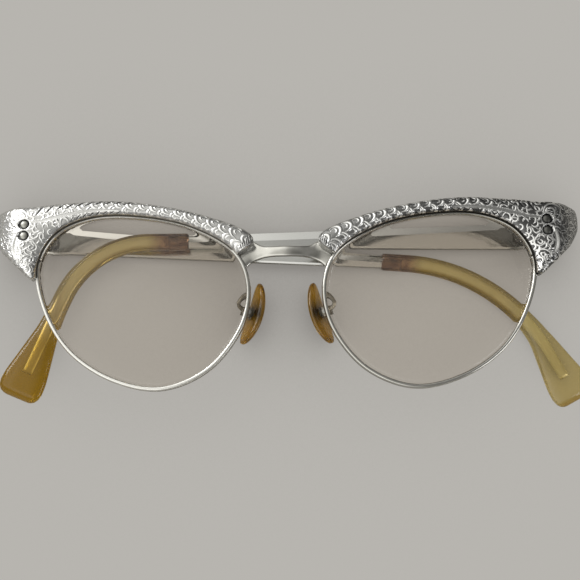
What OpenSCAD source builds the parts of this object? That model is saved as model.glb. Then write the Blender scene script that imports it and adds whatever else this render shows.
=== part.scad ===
// Cat eye combination eyeglasses, folded and lying face up.
// X runs along the front, Y goes from the rims' lower edge up to the brow, and Z
// points out of the front of the lenses. The floor under the folded temples is Z = 0.
// Left and right are the sides of the front view: right is +X.

/* [Lenses] */
// Width of a lens between its bevel tips
lens_w = 48.4; // [44:0.1:52]
// Height of a lens between its bevel tips
lens_h = 39.8; // [36:0.1:44]
// Gap between the two lenses across the nose
bridge_gap = 17.6; // [14:0.1:22]
// Thickness at the middle of a lens
lens_t = 1.8; // [1.4:0.1:2.4]
// Radius of a lens's front surface
lens_front_r = 130; // [100:5:200]
// Radius of a lens's back surface
lens_back_r = 95; // [85:5:130]
// Height of the bevel round a lens
bevel_h = 0.35; // [0.25:0.05:0.45]
// Turn of each lens back towards its outer side, in degrees
face_wrap = 1.2; // [0:0.1:2]

/* [Eyewires] */
// Width of the wire as seen from the front
wire_w = 1.0; // [0.8:0.05:1.4]
// Depth of the wire from front to back
wire_d = 2.2; // [1.8:0.1:2.8]
// Depth of the groove that holds the lens
groove_d = 0.3; // [0.2:0.05:0.4]
// Gap at the joint that opens to take the lens
wire_slit = 0.3; // [0.2:0.05:0.6]
// Size of the closing block along the wire
lock_len = 3.4; // [3:0.1:4]
// Size of the closing block away from the wire
lock_w = 2.2; // [1.8:0.1:2.6]
// Depth of the closing block from front to back
lock_d = 2.3; // [2:0.1:2.8]
// Radius of the closing screw
lock_screw_r = 0.4; // [0.3:0.05:0.5]

/* [Brow bars] */
// How far the crown of a bar stands in front of the eyewire
bar_proud = 1.9; // [1.4:0.1:2.4]
// How far the rear lip of a bar reaches behind the eyewire's front
bar_lip = 1.4; // [1:0.1:1.6]
// Inner radius of the bend that takes a bar's outer end backwards
wrap_r = 9; // [8:0.5:12]
// Distance from the eyewire's outermost point to that bend
wrap_start = 3.4; // [3:0.1:4]
// Radius of the screw that holds a bar's nasal end
brow_screw_r = 0.5; // [0.4:0.05:0.6]
// Length of that screw in the bar
brow_screw_len = 1.5; // [1:0.1:1.8]

/* [Bridge] */
// Height of the strap at its middle
bridge_h = 2.5; // [2:0.1:3.2]
// Thickness of the strap
bridge_t = 1.25; // [1:0.05:1.6]
// How far the strap arches forward between its feet
bridge_arch = 1.25; // [0.6:0.05:2]
// Height of the strap's middle above the point where its feet meet the eyewires
bridge_rise = 0.95; // [0.5:0.05:1.5]
// Radius of the eye that takes the brow screw
lug_r = 1.5; // [1.3:0.05:1.8]

/* [Hinges] */
// Height of the hinge's middle above the shoulder of the eyewire
hinge_rise = 1.45; // [1:0.05:1.8]
// Distance from the start of the bar's bend out to the hinge screw
pin_out = 3.0; // [2.8:0.05:3.3]
// Distance of the hinge screw behind the front of the eyewires
pin_back = 8.0; // [7.8:0.1:9]
// Radius of the hinge screw
pin_r = 0.6; // [0.45:0.05:0.7]
// Running clearance round the hinge screw
pin_fit = 0.05; // [0.03:0.01:0.08]
// Outer radius of the barrels
barrel_r = 1.15; // [1.05:0.05:1.2]
// Length of all five barrels together
barrel_len = 6.0; // [5:0.1:6.4]
// Gap between neighbouring barrels
barrel_gap = 0.06; // [0.04:0.01:0.12]
// Thickness of the front leaf
leaf_t = 0.85; // [0.7:0.05:1]
// Distance between the two rivets of a pair
rivet_pitch = 2.7; // [2.4:0.05:3]
// Radius of a rivet's shank
rivet_r = 0.58; // [0.45:0.01:0.7]
// Radius of a front rivet's head
rivet_head_r = 1.0; // [0.85:0.05:1.1]

/* [Temples] */
// Length of a temple from the hinge screw to the tip, along its curve
temple_len = 147; // [140:1:152]
// Length from the hinge screw to the mouth of the plastic sleeve
sleeve_start = 87; // [82:1:92]
// Length from the hinge screw to the start of the left ear bend
bend_start_left = 93; // [90:1:96]
// Length from the hinge screw to the start of the right ear bend
bend_start_right = 96.5; // [93:0.5:100]
// Radius of the left ear bend
bend_r_left = 40; // [32:1:44]
// Radius of the right ear bend
bend_r_right = 21.5; // [18:0.5:26]
// Turn of the left ear bend, in degrees
bend_turn_left = 58; // [48:1:60]
// Turn of the right ear bend, in degrees
bend_turn_right = 66.5; // [55:0.5:68]
// Height of the shaft at the hinge
shaft_h = 6.4; // [6:0.1:6.8]
// Height of the shaft where it enters the sleeve
shaft_tail_h = 3.0; // [2.9:0.05:3.2]
// Thickness of the shaft
shaft_t = 1.7; // [1.6:0.05:1.8]
// Distance from the hinge screw to the shaft's outer face
shaft_out = 3.0; // [2.9:0.05:3.1]
// How far the shaft runs on in front of the hinge screw
shaft_nose = 2.8; // [2.2:0.1:3]
// Length of the recess that takes the hinge leaf, from the hinge screw
recess_len = 9.4; // [8.8:0.1:11]
// Depth of that recess
recess_d = 0.6; // [0.5:0.05:0.65]
// Length of the shaft inside the sleeve
shaft_in = 4.8; // [4:0.1:6]
// Downward set of the left temple when folded, in degrees
set_left = 4.4; // [4.2:0.1:5]
// Downward set of the right temple when folded, in degrees
set_right = 0.8; // [0:0.1:0.9]
// Least gap between the two folded temples
fold_gap = 0.3; // [0.25:0.05:0.6]

/* [Sleeves] */
// Height of a sleeve along its straight part
sleeve_h = 4.0; // [3.9:0.1:4.6]
// Thickness of a sleeve
sleeve_t = 3.4; // [3.2:0.1:3.6]
// Height of the paddle at the tip
paddle_h = 10.2; // [8:0.1:11]
// Thickness of the paddle
paddle_t = 2.8; // [2.4:0.1:3]
// Height of the flat core
core_h = 2.4; // [2:0.05:2.5]
// Thickness of the flat core
core_t = 1.0; // [0.8:0.05:1.1]
// Length of solid plastic beyond the core
tip_solid = 6; // [5:0.5:12]

/* [Nose pads] */
// Length of a pad
pad_len = 15; // [12:0.5:16]
// Width of a pad
pad_w = 7.2; // [6:0.1:7.4]
// Thickness of a pad
pad_t = 2.2; // [2:0.1:2.6]
// Distance from the middle of the nose to the middle of a pad
pad_x = 8.3; // [7.8:0.1:8.8]
// Height of a pad's middle above the middle of the lenses
pad_y = -1.7; // [-4:0.1:0]
// Distance of a pad's middle behind the front of the eyewires
pad_back = 7.0; // [6.6:0.1:7.2]
// Lean of a pad's top towards the nose, in degrees
pad_lean = 16; // [12:1:20]
// Splay of a pad's back edge away from the nose, in degrees
pad_splay = 28; // [22:1:34]
// How far the middle of a pad bows out towards the nose
pad_bow = 1.1; // [0.8:0.1:1.6]
// Distance from the back of a pad's middle to its screw
pad_reach = 1.2; // [1.15:0.05:1.5]
// Radius of the pad screw
pad_screw_r = 0.3; // [0.25:0.01:0.33]
// Radius of the guard arm's wire
arm_r = 0.45; // [0.35:0.05:0.55]

/* [Hidden] */
$fn = 32;

// Gap between pieces of one body that are soldered, riveted or pressed together
seat = 0.05;
// Steps of the curves between two points of an outline
eye_steps = 5;
bar_steps = 2;
// Distance from the wire to pieces that pass it with a straight or slanting edge
foot_gap = 0.25;
edge_gap = 0.12;

// Half of the eyewire's middle line, as shares of the half width and height,
// clockwise from the outermost point
EYE = [[1.00, 0.385], [0.893, -0.138], [0.64, -0.59], [0.246, -0.897], [-0.205, -1.0],
    [-0.635, -0.783], [-0.926, -0.325], [-0.996, 0.158], [-0.852, 0.571],
    [-0.434, 0.867], [0.061, 0.995], [0.512, 0.985], [0.852, 0.788]];
eye_n = len(EYE);
wire_seat = wire_w / 2 - groove_d;
eye_half = [lens_w / 2 + wire_seat, lens_h / 2 + wire_seat];
eye_mid = [(bridge_gap + lens_w) / 2, 0.4];

// Sections of a brow bar from the nose outwards: the place on the eyewire, the
// width of the bar there and the direction it takes from the wire, in degrees
BAR = [[7.85, 3.85, 148], [7.86, 5.2, 137], [7.92, 5.5, 119], [8.1, 5.05, 108],
    [8.6, 3.85, 95], [9.3, 3.15, 82], [10.03, 3.1, 84], [10.65, 3.4, 80],
    [11.2, 4.1, 76], [11.65, 5.75, 67], [12.0, 8.35, 51.5], [12.25, 12.9, 37.9],
    [12.42, 16.1, 31.2], [12.55, 14.9, 24.0], [12.7, 11.2, 19.6], [12.85, 6.4, 9],
    [13.0, 3.7, -5], [13.12, 2.4, -14], [13.22, 1.25, -22]];
bar_n = len(BAR);
// Place on the eyewire of the shoulder behind the hinge, of the closing block,
// of the bridge's foot and of the guard arm
shoulder_at = 12.1;
lock_at = 12.78;
foot_low_at = 7.5;
foot_high_at = 8.0;
arm_at = 7.02;

// Curve through four points, at a share of the way from the second to the third
function curve(a, b, c, d, f) = 0.5 * (2 * b + (c - a) * f
    + (2 * a - 5 * b + 4 * c - d) * f * f + (3 * b - a - 3 * c + d) * f * f * f);
function closed_at(P, t) = let (n = len(P), i = floor(t), k = i + n)
    curve(P[(k - 1) % n], P[k % n], P[(k + 1) % n], P[(k + 2) % n], t - i);
function open_at(P, t) = let (n = len(P), i = min(floor(t), n - 2))
    curve(P[max(i - 1, 0)], P[i], P[i + 1], P[min(i + 2, n - 1)], t - i);
// Value at s in a list of [place, value] pairs
function along(P, s, i = 0) = i >= len(P) - 2 || s <= P[i + 1][0]
    ? P[i][1] + (P[i + 1][1] - P[i][1])
        * max(0, min(1, (s - P[i][0]) / (P[i + 1][0] - P[i][0])))
    : along(P, s, i + 1);
function unit(v) = v / norm(v);

// Point beside the eyewire's middle line, a given distance outwards
function eye_raw(t) = let (p = closed_at(EYE, t)) [p[0] * eye_half[0], p[1] * eye_half[1]];
function eye_out(t) = let (d = unit(eye_raw(t + 0.02) - eye_raw(t - 0.02))) [-d[1], d[0]];
function eye_pt(t, off) = eye_mid + eye_raw(t) + off * eye_out(t);

rim_in = eye_pt(7, 0)[0];
rim_out = eye_pt(eye_n, 0)[0];
wrap_x = rim_out + wrap_start;
flat_x = rim_out - 1.4;
// Height of the eyewires' front plane at a distance from the middle of the nose
function rim_z(x) = -tan(face_wrap) * max(0, min(x, flat_x) - rim_in);
end_z = rim_z(flat_x);
bar_back = end_z - bar_lip;

hinge_y = eye_pt(shoulder_at, 0)[1] + hinge_rise;
pin_x = wrap_x + pin_out;
rivet_x = wrap_x - 0.4;
knuckle = barrel_len / 5;

sleeve_out = shaft_out + (sleeve_t - shaft_t) / 2;
shaft_mid = shaft_out - shaft_t / 2;
front_z = pin_back + sleeve_out;
// The right temple folds over the left one, so it leans up by their thickness
lift = sleeve_out - (shaft_out - shaft_t) + fold_gap;
lean_right = atan(lift / (sleeve_start - 1));

// Closed solid through a row of rings, each turning left about the way along
module loft(rings) {
    n = len(rings);
    m = len(rings[0]);
    polyhedron(
        points = [for (r = rings) for (p = r) p],
        faces = concat(
            [[for (j = [0:m - 1]) j]],
            [[for (j = [m - 1:-1:0]) (n - 1) * m + j]],
            [for (i = [0:n - 2]) for (j = [0:m - 1]) let (k = (j + 1) % m)
                [i * m + j, (i + 1) * m + j, (i + 1) * m + k]],
            [for (i = [0:n - 2]) for (j = [0:m - 1]) let (k = (j + 1) % m)
                [i * m + j, (i + 1) * m + k, i * m + k]]),
        convexity = 8);
}

// Places the pieces of the front, then those of one of its sides, made for the right
module front() {
    translate([nose_x, 0, front_z]) children();
}
module front_side(side) {
    front() {
        if (side < 0) mirror([1, 0, 0]) children();
        else children();
    }
}

// Screw with a slotted head on top of the origin and its shank below
module screw(r, len, head_r, head_h) {
    difference() {
        union() {
            translate([0, 0, -len]) cylinder(r = r, h = len + 0.01);
            cylinder(r1 = head_r, r2 = head_r * 0.85, h = head_h);
        }
        translate([-head_r - 1, -head_r * 0.14, head_h * 0.5])
            cube([2 * head_r + 2, head_r * 0.28, head_h]);
    }
}

// Eyewires, their closing blocks and the lenses

wire_top = wire_d / 2;
WIRE = [[0.35 * wire_w, -wire_top], [0.5 * wire_w, -0.82 * wire_top],
    [0.5 * wire_w, 0.82 * wire_top], [0.35 * wire_w, wire_top],
    [-0.35 * wire_w, wire_top], [-0.5 * wire_w, 0.82 * wire_top],
    [-0.5 * wire_w, bevel_h + seat], [-wire_seat, 0],
    [-0.5 * wire_w, -bevel_h - seat],
    [-0.5 * wire_w, -0.82 * wire_top], [-0.35 * wire_w, -wire_top]];

module eyewire(side) {
    count = eye_n * eye_steps;
    slit = wire_slit / (2 * norm(eye_pt(lock_at + 0.5, 0) - eye_pt(lock_at - 0.5, 0)));
    color("gainsboro")
    front_side(side)
    loft([for (i = [0:count]) let (
            t = lock_at + slit + (eye_n - 2 * slit) * i / count)
        [for (q = WIRE) let (p = eye_pt(t, q[0]))
            [p[0], p[1], rim_z(p[0]) - wire_top + q[1]]]]);
}

// Places a piece at the joint of the eyewire, X pointing away from the wire
module at_lock() {
    p = eye_pt(lock_at, wire_w / 2 + seat);
    d = eye_out(lock_at);
    translate([p[0], p[1], bar_back - seat - lock_d]) rotate([0, 0, atan2(d[1], d[0])])
        children();
}

module rim_lock(side) {
    half = (lock_len - wire_slit) / 2;
    color("gainsboro")
    front_side(side)
    at_lock()
    difference() {
        for (k = [-1, 1])
            translate([0, k > 0 ? wire_slit / 2 : -wire_slit / 2 - half, 0])
                cube([lock_w, half, lock_d]);
        translate([lock_w / 2, -lock_len, lock_d / 2]) rotate([-90, 0, 0])
            cylinder(r = lock_screw_r + seat, h = 2 * lock_len);
    }
}

module rim_lock_screw(side) {
    color("silver")
    front_side(side)
    at_lock()
    translate([lock_w / 2, -lock_len / 2 - seat, lock_d / 2]) rotate([90, 0, 0])
        screw(lock_screw_r, lock_len, lock_screw_r * 1.9, 0.45);
}

// Heights of the lens surfaces over the plane of the bevel
front_edge = bevel_h + 0.1;
lens_top = front_edge + lens_w * lens_w / 4 / (2 * lens_front_r);
function lens_front(d) = lens_top - d * d / (2 * lens_front_r);
function lens_back(d) = lens_top - lens_t - d * d / (2 * lens_back_r);

module lens(side) {
    count = eye_n * eye_steps;
    shoulder = -wire_w / 2 - seat;
    edge = [for (i = [count - 1:-1:0]) eye_pt(i / eye_steps, shoulder)];
    apex = [for (i = [count - 1:-1:0]) eye_pt(i / eye_steps, -wire_seat - seat)];
    shares = [0.04, 0.35, 0.7, 1];
    back = [for (k = shares) [for (p = edge) let (q = (p - eye_mid) * k)
        [q[0], q[1], lens_back(norm(q))]]];
    front = [for (k = [1, 0.7, 0.35, 0.04]) [for (p = edge) let (q = (p - eye_mid) * k)
        [q[0], q[1], lens_front(norm(q))]]];
    bevel = [
        [for (p = edge) let (q = p - eye_mid) [q[0], q[1], -bevel_h]],
        [for (p = apex) let (q = p - eye_mid) [q[0], q[1], 0]],
        [for (p = edge) let (q = p - eye_mid) [q[0], q[1], bevel_h]]];
    color("lavenderblush", 0.4)
    front_side(side)
    loft([for (r = concat(back, bevel, front)) [for (q = r) let (x = q[0] + eye_mid[0])
        [x, q[1] + eye_mid[1], q[2] + rim_z(x) - wire_top]]]);
}

// Bridge

foot_low = eye_pt(foot_low_at, wire_w / 2 + foot_gap);
foot_high = eye_pt(foot_high_at, wire_w / 2 + foot_gap);
strap_y = eye_pt(BAR[0][0], 0)[1] + bridge_rise;
lug = eye_pt(7.95, 0) + 3 * [cos(128), sin(128)];
strap_back = -bar_lip - seat - bridge_t;
// Half of the strap as [low point, high point, lift of its back] from the middle out
STRAP = [
    [0, strap_y - bridge_h / 2, 0, strap_y + bridge_h / 2, bridge_arch],
    [foot_low[0] * 0.36, strap_y - bridge_h / 2, foot_low[0] * 0.36,
        strap_y + bridge_h / 2, bridge_arch * 0.85],
    [foot_low[0] * 0.64, strap_y - bridge_h / 2 - 0.3, foot_low[0] * 0.62,
        strap_y + bridge_h / 2 + 0.3, bridge_arch * 0.35],
    [foot_low[0] - 1.2, (strap_y - bridge_h / 2 + foot_low[1]) / 2, foot_low[0] - 1.0,
        lug[1] + 0.4, 0],
    [foot_low[0], foot_low[1], foot_high[0], foot_high[1], 0]];

module bridge() {
    steps = 3;
    half = [for (i = [0:(len(STRAP) - 1) * steps]) open_at(STRAP, i / steps)];
    left = [for (i = [len(half) - 1:-1:1]) let (r = half[i])
        [-r[0], r[1], -r[2], r[3], r[4]]];
    profile = [[0.12, 0], [0.88, 0], [1, 0.25], [1, 0.7], [0.8, 1], [0.5, 1.06],
        [0.2, 1], [0, 0.7], [0, 0.25]];
    color("gainsboro")
    front()
    difference() {
        union() {
            loft([for (r = concat(left, half)) [for (q = profile)
                [r[0] + (r[2] - r[0]) * q[0], r[1] + (r[3] - r[1]) * q[0],
                    strap_back + r[4] + min(q[1], r[4] > 0.05 ? 2 : 1) * bridge_t]]]);
            for (k = [-1, 1])
                translate([k * lug[0], lug[1], strap_back])
                    cylinder(r = lug_r, h = bridge_t);
        }
        for (k = [-1, 1])
            translate([k * lug[0], lug[1], strap_back - 1])
                cylinder(r = brow_screw_r + seat, h = bridge_t + 2);
    }
}

// Brow bars

bar_edge = bar_lip + 0.9;
bar_crown = bar_lip + bar_proud;
// Share of its full thickness that the bar keeps on its bend
function bar_thin(x) = 1 - 0.42 * max(0, min(1, (x - wrap_x) / 6));
// Bends a point of the flat bar backwards at the outer end
function bent(x, y, z, h) = let (a = (x - wrap_x) / wrap_r * 180 / PI)
    x <= wrap_x ? [x, y, z + h]
    : [wrap_x + (wrap_r + h) * sin(a), y, z - wrap_r + (wrap_r + h) * cos(a)];

module brow_bar(side) {
    rows = [for (i = [0:(bar_n - 1) * bar_steps]) open_at(BAR, i / bar_steps)];
    color("whitesmoke")
    front_side(side)
    difference() {
        loft([for (r = rows) let (
                low = eye_pt(r[0], 0),
                way = r[1] * [cos(r[2]), sin(r[2])],
                rise = max(0.35, way * eye_out(r[0]) / r[1]),
                step = min(0.7, (wire_w / 2 + edge_gap) / rise / r[1]))
            [for (q = [[step, 0], [0.3, 0], [0.48, 0], [0.64, 0], [0.8, 0],
                    [0.94, 0], [1, 0.3], [1, bar_edge],
                    [0.93, bar_edge + 0.5 * (bar_crown - bar_edge)],
                    [0.75, bar_edge + 0.87 * (bar_crown - bar_edge)],
                    [0.5, bar_crown],
                    [0.25, bar_edge + 0.87 * (bar_crown - bar_edge)],
                    [0.07, bar_edge + 0.5 * (bar_crown - bar_edge)],
                    [0, bar_edge], [0, bar_lip + seat], [step, bar_lip + seat]])
                let (p = low + way * q[0])
                bent(p[0], p[1], rim_z(p[0]) - bar_lip, q[1] * bar_thin(p[0]))]]);
        for (y = rivet_ys) {
            translate([rivet_x, y, bar_back - 1]) cylinder(r = rivet_r + seat, h = 9);
            translate([rivet_x, y, head_floor]) cylinder(r = rivet_head_r + 0.1, h = 5);
        }
        translate([lug[0], lug[1], -bar_lip - 1])
            cylinder(r = brow_screw_r + seat, h = 1 + brow_screw_len + 0.2);
    }
}

module brow_screws() {
    color("silver")
    front()
    for (k = [-1, 1])
        translate([k * lug[0], lug[1], strap_back - seat]) rotate([180, 0, 0])
            screw(brow_screw_r, bridge_t + 2 * seat + brow_screw_len,
                brow_screw_r * 2.2, 0.6);
}

// Hinges

rivet_ys = [hinge_y - rivet_pitch / 2, hinge_y + rivet_pitch / 2];
head_floor = bar_back + bar_crown - 0.85;
leaf_top = bar_back - seat;
leaf_back = leaf_top - leaf_t;
pin_z = -pin_back;
// Inner surface of the bar's bend, a distance beyond its start
function bend_under(d) = bar_back - wrap_r + sqrt(wrap_r * wrap_r - d * d);

// Barrels number first, first + 2 and so on, of the five along the hinge screw
module barrels(first) {
    for (k = [first:2:4])
        translate([0, k * knuckle - barrel_len / 2 + barrel_gap / 2, 0])
            children();
}

module hinge_front_leaf(side) {
    inner = pin_x - barrel_r;
    color("darkgray")
    front_side(side)
    difference() {
        union() {
            translate([rivet_x - 2.3, hinge_y - barrel_len / 2, leaf_back])
                cube([wrap_x - rivet_x + 2.4, barrel_len, leaf_t]);
            translate([0, hinge_y, 0]) barrels(0) rotate([90, 0, 0]) mirror([0, 0, 1]) {
                linear_extrude(knuckle - barrel_gap)
                    polygon([[wrap_x - 1, leaf_top], [wrap_x + 0.1, leaf_top],
                        [wrap_x + 2, bend_under(2) - 0.3],
                        [pin_x + 0.3, bend_under(pin_out + 0.3) - 0.35],
                        [pin_x + 0.3, pin_z], [inner, pin_z],
                        [inner, leaf_back - 0.6], [inner - 0.9, leaf_back],
                        [wrap_x - 1, leaf_back]]);
                translate([pin_x, pin_z, 0])
                    cylinder(r = barrel_r, h = knuckle - barrel_gap);
            }
        }
        translate([pin_x, hinge_y - barrel_len, pin_z]) rotate([-90, 0, 0])
            cylinder(r = pin_r + pin_fit, h = 2 * barrel_len);
        for (y = rivet_ys)
            translate([rivet_x, y, leaf_back - 1]) cylinder(r = rivet_r + seat, h = 3);
    }
}

module hinge_front_rivets(side) {
    tail = leaf_back - seat - 0.35;
    color("silver")
    front_side(side)
    for (y = rivet_ys)
        translate([rivet_x, y, 0]) {
            translate([0, 0, tail]) cylinder(r = rivet_r * 1.5, h = 0.35);
            translate([0, 0, tail]) cylinder(r = rivet_r, h = head_floor - tail + 0.3);
            translate([0, 0, head_floor + seat]) rotate_extrude() {
                square([rivet_head_r, 0.5]);
                intersection() {
                    translate([0, 0.5 - rivet_head_r * 1.4]) circle(r = rivet_head_r * 1.72);
                    translate([0, 0.49]) square([rivet_head_r, 1]);
                }
            }
        }
}

module hinge_screw(side) {
    color("silver")
    front_side(side)
    translate([pin_x, hinge_y + barrel_len / 2 + 0.02, pin_z]) rotate([-90, 0, 0])
        screw(pin_r, barrel_len + 0.2, barrel_r * 0.95, 0.55);
}

// Temples, made for the right: they run towards -X from the hinge screw, and
// their inner face looks up

module temple_side(side) {
    translate([nose_x + side * pin_x, hinge_y, front_z + pin_z]) {
        if (side < 0) mirror([1, 0, 0]) children();
        else rotate([0, lean_right, 0]) children();
    }
}
// A temple's set, then the start, radius and turn of its ear bend
LEFT = [set_left, bend_start_left, bend_r_left, bend_turn_left];
RIGHT = [set_right, bend_start_right, bend_r_right, bend_turn_right];
function temple_of(side) = side < 0 ? LEFT : RIGHT;

set_from = 12;
function bend_len(T) = T[2] * T[3] * PI / 180;
// Downward angle and place of a temple's middle line, a length from the hinge
function down(s, T) = s < set_from ? 0 : T[0]
    + T[3] * max(0, min(1, (s - T[1]) / bend_len(T)));
function mid(s, T) = s < set_from ? [-s, 0]
    : s <= T[1] ? [-set_from, 0] + (s - set_from) * [-cos(T[0]), -sin(T[0])]
    : s <= T[1] + bend_len(T) ? let (a = down(s, T)) mid(T[1], T)
        + T[2] * [sin(T[0]) - sin(a), cos(a) - cos(T[0])]
    : mid(T[1] + bend_len(T), T) + (s - T[1] - bend_len(T))
        * [-cos(T[0] + T[3]), -sin(T[0] + T[3])];
// Ring across the temple, from points [towards the inner side, towards its top]
function across(s, T, P) = let (c = mid(s, T), a = down(s, T))
    [for (p = P) [c[0] - p[1] * sin(a), c[1] + p[1] * cos(a), p[0]]];
// Rounded ring, its middle and half sizes given
function oval(w, half_t, half_h, n, square = 2.6) = [for (k = [0:n - 1]) let (
        a = 360 * k / n, c = cos(a), s = sin(a))
    [w + half_t * sign(c) * pow(abs(c), 2 / square),
        half_h * sign(s) * pow(abs(s), 2 / square)]];

// The middle of the nose stands beside X = 0, because the left temple's tip reaches
// further out than the right end of the front does
tip_turn = set_left + bend_turn_left;
tip_reach = -pin_x - mid(temple_len - 1.2, LEFT)[0] + (paddle_h / 2 - 0.4) * sin(tip_turn);
bar_reach = wrap_x + wrap_r;
nose_x = (bar_reach - tip_reach) / 2;

shaft_end = sleeve_start + shaft_in;
core_start = sleeve_start - 3;
core_end = temple_len - tip_solid;
SHAFT = [[-shaft_nose, shaft_h / 2 - 0.5], [-shaft_nose + 0.6, shaft_h / 2],
    [recess_len, shaft_h / 2 - 0.05], [sleeve_start, shaft_tail_h / 2],
    [shaft_end, shaft_tail_h / 2]];

module temple_shaft(side) {
    T = temple_of(side);
    out = -shaft_out;
    in = shaft_t - shaft_out;
    places = concat([-shaft_nose, -shaft_nose + 0.6, 4, recess_len, set_from, 20],
        [for (k = [1:7]) 20 + (sleeve_start - 20) * k / 7], [shaft_end]);
    color("whitesmoke")
    temple_side(side)
    difference() {
        loft([for (s = places) let (
                h = along(SHAFT, s),
                ridge = h * along([[recess_len, 0.55], [sleeve_start, -0.25]], s))
            across(s, T, [[out + 0.3, -h], [in - 0.25, -h], [in, -h + 0.4],
                [in, ridge], [in - 0.4, h - 0.1], [in - 0.6, h], [out + 0.3, h],
                [out, h - 0.5], [out, -h + 0.5]])]);
        translate([-recess_len + recess_r, 0, in - recess_d]) {
            cylinder(r = recess_r, h = 3);
            translate([0, -recess_r, 0]) cube([recess_len + 5, 2 * recess_r, 3]);
        }
        translate([-temple_leaf_from, -shaft_h, in - recess_d])
            cube([2 * shaft_h, 2 * shaft_h, 3]);
        for (s = temple_rivets_at)
            translate([-s, 0, out - 1]) cylinder(r = rivet_r + seat, h = 4);
        translate([mid(core_start, T)[0], mid(core_start, T)[1], -shaft_mid])
            rotate([0, 0, T[0]])
            translate([-shaft_in - 5, -core_h / 2 - seat, -core_t / 2 - seat])
                cube([shaft_in + 5, core_h + 2 * seat, core_t + 2 * seat]);
    }
}

recess_r = shaft_h / 2 - 0.5;
temple_leaf_from = barrel_r + 0.35;
temple_leaf_to = recess_len - 0.3;
temple_rivets_at = [3.4, 3.4 + rivet_pitch];
temple_leaf_floor = shaft_t - shaft_out - recess_d + seat;
temple_leaf_t = 0.7;

module temple_hinge_leaf(side) {
    r = recess_r - 0.1;
    color("darkgray")
    temple_side(side)
    difference() {
        union() {
            intersection() {
                translate([-temple_leaf_to, -r, temple_leaf_floor])
                    cube([temple_leaf_to - temple_leaf_from, 2 * r, temple_leaf_t]);
                union() {
                    translate([-temple_leaf_to + r, 0, temple_leaf_floor - 1])
                        cylinder(r = r, h = 4);
                    translate([-temple_leaf_to + r, -r, temple_leaf_floor - 1])
                        cube([temple_leaf_to, 2 * r, 4]);
                }
            }
            barrels(1) rotate([90, 0, 0]) mirror([0, 0, 1]) {
                cylinder(r = barrel_r, h = knuckle - barrel_gap);
                translate([-temple_leaf_from - 0.6, temple_leaf_floor, 0])
                    cube([temple_leaf_from + 0.6, -temple_leaf_floor,
                        knuckle - barrel_gap]);
            }
        }
        translate([0, -barrel_len, 0]) rotate([-90, 0, 0])
            cylinder(r = pin_r + pin_fit, h = 2 * barrel_len);
        for (s = temple_rivets_at)
            translate([-s, 0, temple_leaf_floor - 1]) cylinder(r = rivet_r + seat, h = 4);
    }
}

module temple_rivets(side) {
    top = temple_leaf_floor + temple_leaf_t + seat;
    color("silver")
    temple_side(side)
    for (s = temple_rivets_at)
        translate([-s, 0, 0]) {
            translate([0, 0, -shaft_out]) cylinder(r = rivet_r, h = shaft_out + top);
            translate([0, 0, top]) cylinder(r = rivet_r * 1.45, h = 0.3);
        }
}

module temple_core(side) {
    T = temple_of(side);
    color("silver")
    temple_side(side)
    loft([for (k = [0:16]) let (s = core_start + seat + (core_end - core_start) * k / 16)
        across(s, T, [[-shaft_mid - core_t / 2, -core_h / 2],
            [-shaft_mid + core_t / 2, -core_h / 2],
            [-shaft_mid + core_t / 2, core_h / 2],
            [-shaft_mid - core_t / 2, core_h / 2]])]);
}

// Half height and half thickness of a sleeve, by the length from the hinge
flare = temple_len - 20;
SLEEVE_H = [[sleeve_start, sleeve_h / 2 - 0.2], [sleeve_start + 0.5, sleeve_h / 2],
    [flare, sleeve_h / 2 + 0.2], [flare + 3, sleeve_h / 2 + 0.6],
    [flare + 10, paddle_h / 2 - 1.1], [flare + 15, paddle_h / 2 - 0.1],
    [flare + 17.5, paddle_h / 2], [flare + 18.8, paddle_h / 2 - 0.4],
    [flare + 19.6, paddle_h / 2 - 1.1], [temple_len, paddle_h / 2 - 1.9]];
SLEEVE_T = [[sleeve_start, sleeve_t / 2 - 0.2], [sleeve_start + 0.5, sleeve_t / 2],
    [flare, sleeve_t / 2], [flare + 12, paddle_t / 2], [flare + 18.4, paddle_t / 2],
    [flare + 19.5, paddle_t / 2 - 0.3], [temple_len, paddle_t / 2 - 0.9]];

module temple_sleeve(side) {
    T = temple_of(side);
    n = 16;
    // Bore for the core, with a wider mouth for the end of the shaft
    bore = [[core_end + 0.3, core_t / 2 + seat, core_h / 2 + seat]];
    step = [[shaft_end + 0.2, core_t / 2 + seat, core_h / 2 + seat],
        [shaft_end + 0.1, shaft_t / 2 + seat, shaft_tail_h / 2 + seat],
        [sleeve_start, shaft_t / 2 + seat, shaft_tail_h / 2 + seat]];
    bend = [for (k = [9:-1:0]) [T[1] + 1 + bend_len(T) * k / 9, core_t / 2 + seat,
        core_h / 2 + seat]];
    outer = concat([sleeve_start, sleeve_start + 0.5],
        [for (k = [1:10]) sleeve_start + 0.5 + (flare - sleeve_start - 0.5) * k / 10],
        [for (k = [2, 4, 7, 10, 13, 15.5, 17.5, 18.8, 19.6, 20]) flare + k]);
    color("darkkhaki")
    temple_side(side)
    loft(concat(
        [for (b = concat(bore, bend, step))
            across(b[0], T, oval(-shaft_mid, b[1], b[2], n, 14))],
        [for (s = outer) let (t = along(SLEEVE_T, s))
            across(s, T, oval(t - sleeve_out, t, along(SLEEVE_H, s), n))]));
}

// Nose pads

// Places a piece in a pad's own frame: X away from the nose, Y up the pad and
// Z to the front, from a point a distance out from the pad's middle
module pad_frame(side, out = 0) {
    front_side(side)
    translate([pad_x, pad_y, -pad_back])
    rotate([0, 0, pad_lean]) rotate([0, -pad_splay, 0])
    translate([out, 0, 0])
        children();
}
// Direction away from the nose in the frame of the front
pad_way = [cos(pad_splay) * cos(pad_lean), cos(pad_splay) * sin(pad_lean), sin(pad_splay)];
pad_axis = pad_t / 2 - pad_bow + pad_reach;
pad_pin = [pad_x, pad_y, -pad_back] + pad_axis * pad_way;

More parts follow.
